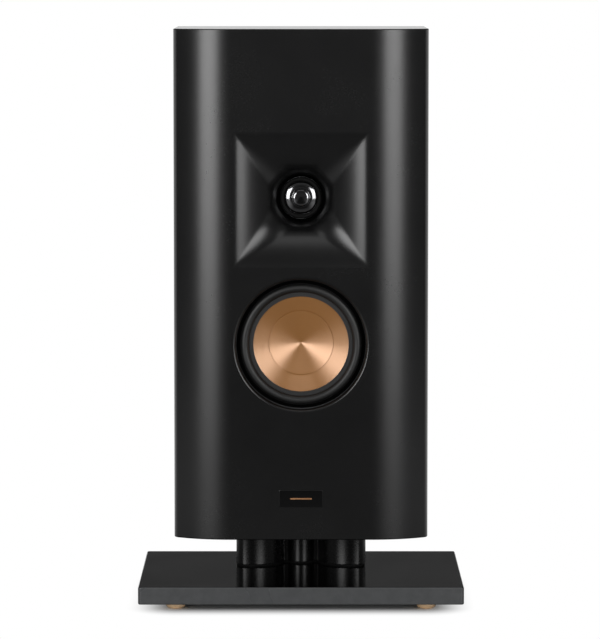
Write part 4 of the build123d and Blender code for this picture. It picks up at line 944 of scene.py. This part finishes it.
def floorFinish():
    # Lit paint under and close to the plate. Further out it glows: to the camera, to mirrors from behind and
    # a little to mirrors at the near sides; the glow starts inside the plate's outline, painting light over
    # the shadow's edges. To mirrors in front it is painted darker.
    s = stageLook
    finish = bpy.data.materials.new("pale floor")
    finish.use_nodes = True
    tree = finish.node_tree
    shader = tree.nodes["Principled BSDF"]
    place = Wire(tree, tree.nodes.new("ShaderNodeTexCoord").outputs["Object"])

    def awayFrom(halfX, halfY):
        # Distance from a rectangle on the floor.
        out = place.vector("SUBTRACT", place.vector("ABSOLUTE", place), (halfX, halfY, 0))
        return place.vector("LENGTH", place.vector("MAXIMUM", out, (0, 0, 0)), out=1)

    away = awayFrom(plateHigh[0], plateHigh[1])
    fromShadow = awayFrom(plateHigh[0] - s["sideFade"], plateHigh[1] - s["frontFade"])
    far = place.add("MapRange", {"interpolation_type": "SMOOTHSTEP"},
                    {"Value": fromShadow, "From Max": s["shadowReach"]})
    path = tree.nodes.new("ShaderNodeLightPath").outputs
    mirrored = Wire(tree, path["Is Glossy Ray"]) + Wire(tree, path["Is Transmission Ray"])
    behind = place.part(1).band(s["mirrorStart"], s["mirrorEnd"])
    nearSide = place.math("ABSOLUTE", place.part(0)).band(*s["sideReach"])
    nearSide = nearSide * away.band(*s["nearReach"], *s["nearShare"])
    glow = far * (Wire(tree, path["Is Camera Ray"]) + mirrored * (behind + nearSide * s["sideGlow"]))
    dimming = away.band(*s["dimReach"], *s["dimming"])
    dimmed = 1 - mirrored * (1 - behind) * (1 - nearSide) * dimming
    paleness = (1 - glow) * dimmed * s["pale"]
    tree.links.new(paleness.grey().socket, shader.inputs["Base Color"])
    tree.links.new(glow.grey().socket, shader.inputs["Emission Color"])
    shader.inputs["Emission Strength"].default_value = 1.0
    shader.inputs["Roughness"].default_value = 0.9
    shader.inputs["Specular IOR Level"].default_value = 0.0
    return finish


span = np.linspace(-stageLook["reach"], stageLook["reach"], stageLook["columns"])
floorX, floorY = np.meshgrid(span, span)
floorPoints, floorFaces = gridSurface(np.stack([floorX, floorY, np.zeros_like(floorX)], axis=-1))
floorMesh = bpy.data.meshes.new("floor")
floorMesh.from_pydata(floorPoints.tolist(), [], floorFaces)
floorMesh.materials.append(floorFinish())
floor = bpy.data.objects.new("floor", floorMesh)
bpy.context.scene.collection.objects.link(floor)

# World: dim, brighter overhead and at the sides, with a white band low down behind. The camera sees it white.
# A band's first two numbers are where it starts and ends, and the next two are the light there.
worldLook = {"overhead": (0.3, 1.0, 0.03, 0.3), "behind": (0.0, 0.4), "behindLight": (0.03, 0.1, 0.85, 0.035),
             "sides": (0.6, 0.9), "sidesLight": (0.2, 0.6, 0.35, 0.0), "front": (-0.5, -0.9),
             "frontLight": (0.05, 0.3, 0.05, 0.0)}
world = bpy.data.worlds.new("studio")
bpy.context.scene.world = world
world.use_nodes = True
worldTree = world.node_tree
sky = Wire(worldTree, worldTree.nodes.new("ShaderNodeTexCoord").outputs["Generated"])
skyX, skyY, skyZ = sky.math("ABSOLUTE", sky.part(0)), sky.part(1), sky.part(2)
level = skyZ.band(*worldLook["overhead"])
for direction, key in ((skyY, "behind"), (skyX, "sides"), (skyY, "front")):
    level = level + direction.band(*worldLook[key]) * skyZ.band(*worldLook[key + "Light"])
seen = Wire(worldTree, worldTree.nodes.new("ShaderNodeLightPath").outputs["Is Camera Ray"])
level = level * (1 - seen) + seen
worldTree.links.new(level.grey().socket, worldTree.nodes["Background"].inputs["Color"])

# Soft boxes: one tall box at each side of the camera, and one overhead.
lightLook = {
    "left": {"at": (-1.1, -1.92, 0.52), "to": (0, 0, 0.52), "size": (0.8, 0.95), "power": 22.0},
    "right": {"at": (1.1, -1.92, 0.52), "to": (0, 0, 0.52), "size": (0.8, 0.95), "power": 18.2},
    "top": {"at": (0.0, -1.0, 1.75), "to": (0, 0, 0.2), "size": (1.2, 0.6), "power": 2.6},
}
for name, look in lightLook.items():
    lamp = bpy.data.lights.new(name + "Box", "AREA")
    lamp.shape = "RECTANGLE"
    lamp.size, lamp.size_y = look["size"]
    lamp.energy = look["power"]
    holder = bpy.data.objects.new(name + "Box", lamp)
    holder.location = look["at"]
    aim = Vector(np.array(look["to"]) - np.array(look["at"]))
    holder.rotation_euler = aim.to_track_quat("-Z", "Y").to_euler()
    bpy.context.scene.collection.objects.link(holder)

# Camera: a long lens a little above the cabinet, tipped down, as in the photograph.
cameraLook = {"at": (-0.00055, -2.2375, 0.358), "tip": 5.18, "lens": 226.4, "sensor": 36.0,
              "sight": 200}
camera = bpy.data.cameras.new("camera")
camera.sensor_fit = "VERTICAL"
camera.sensor_height = cameraLook["sensor"]
camera.sensor_width = cameraLook["sensor"]
camera.lens = cameraLook["lens"]
camera.clip_end = cameraLook["sight"]
cameraHolder = bpy.data.objects.new("camera", camera)
cameraHolder.location = cameraLook["at"]
cameraHolder.rotation_euler = (np.radians(90 - cameraLook["tip"]), 0, 0)
bpy.context.scene.collection.objects.link(cameraHolder)
bpy.context.scene.camera = cameraHolder
bpy.context.scene.view_settings.view_transform = "Standard"
print("stage, lights and camera done")
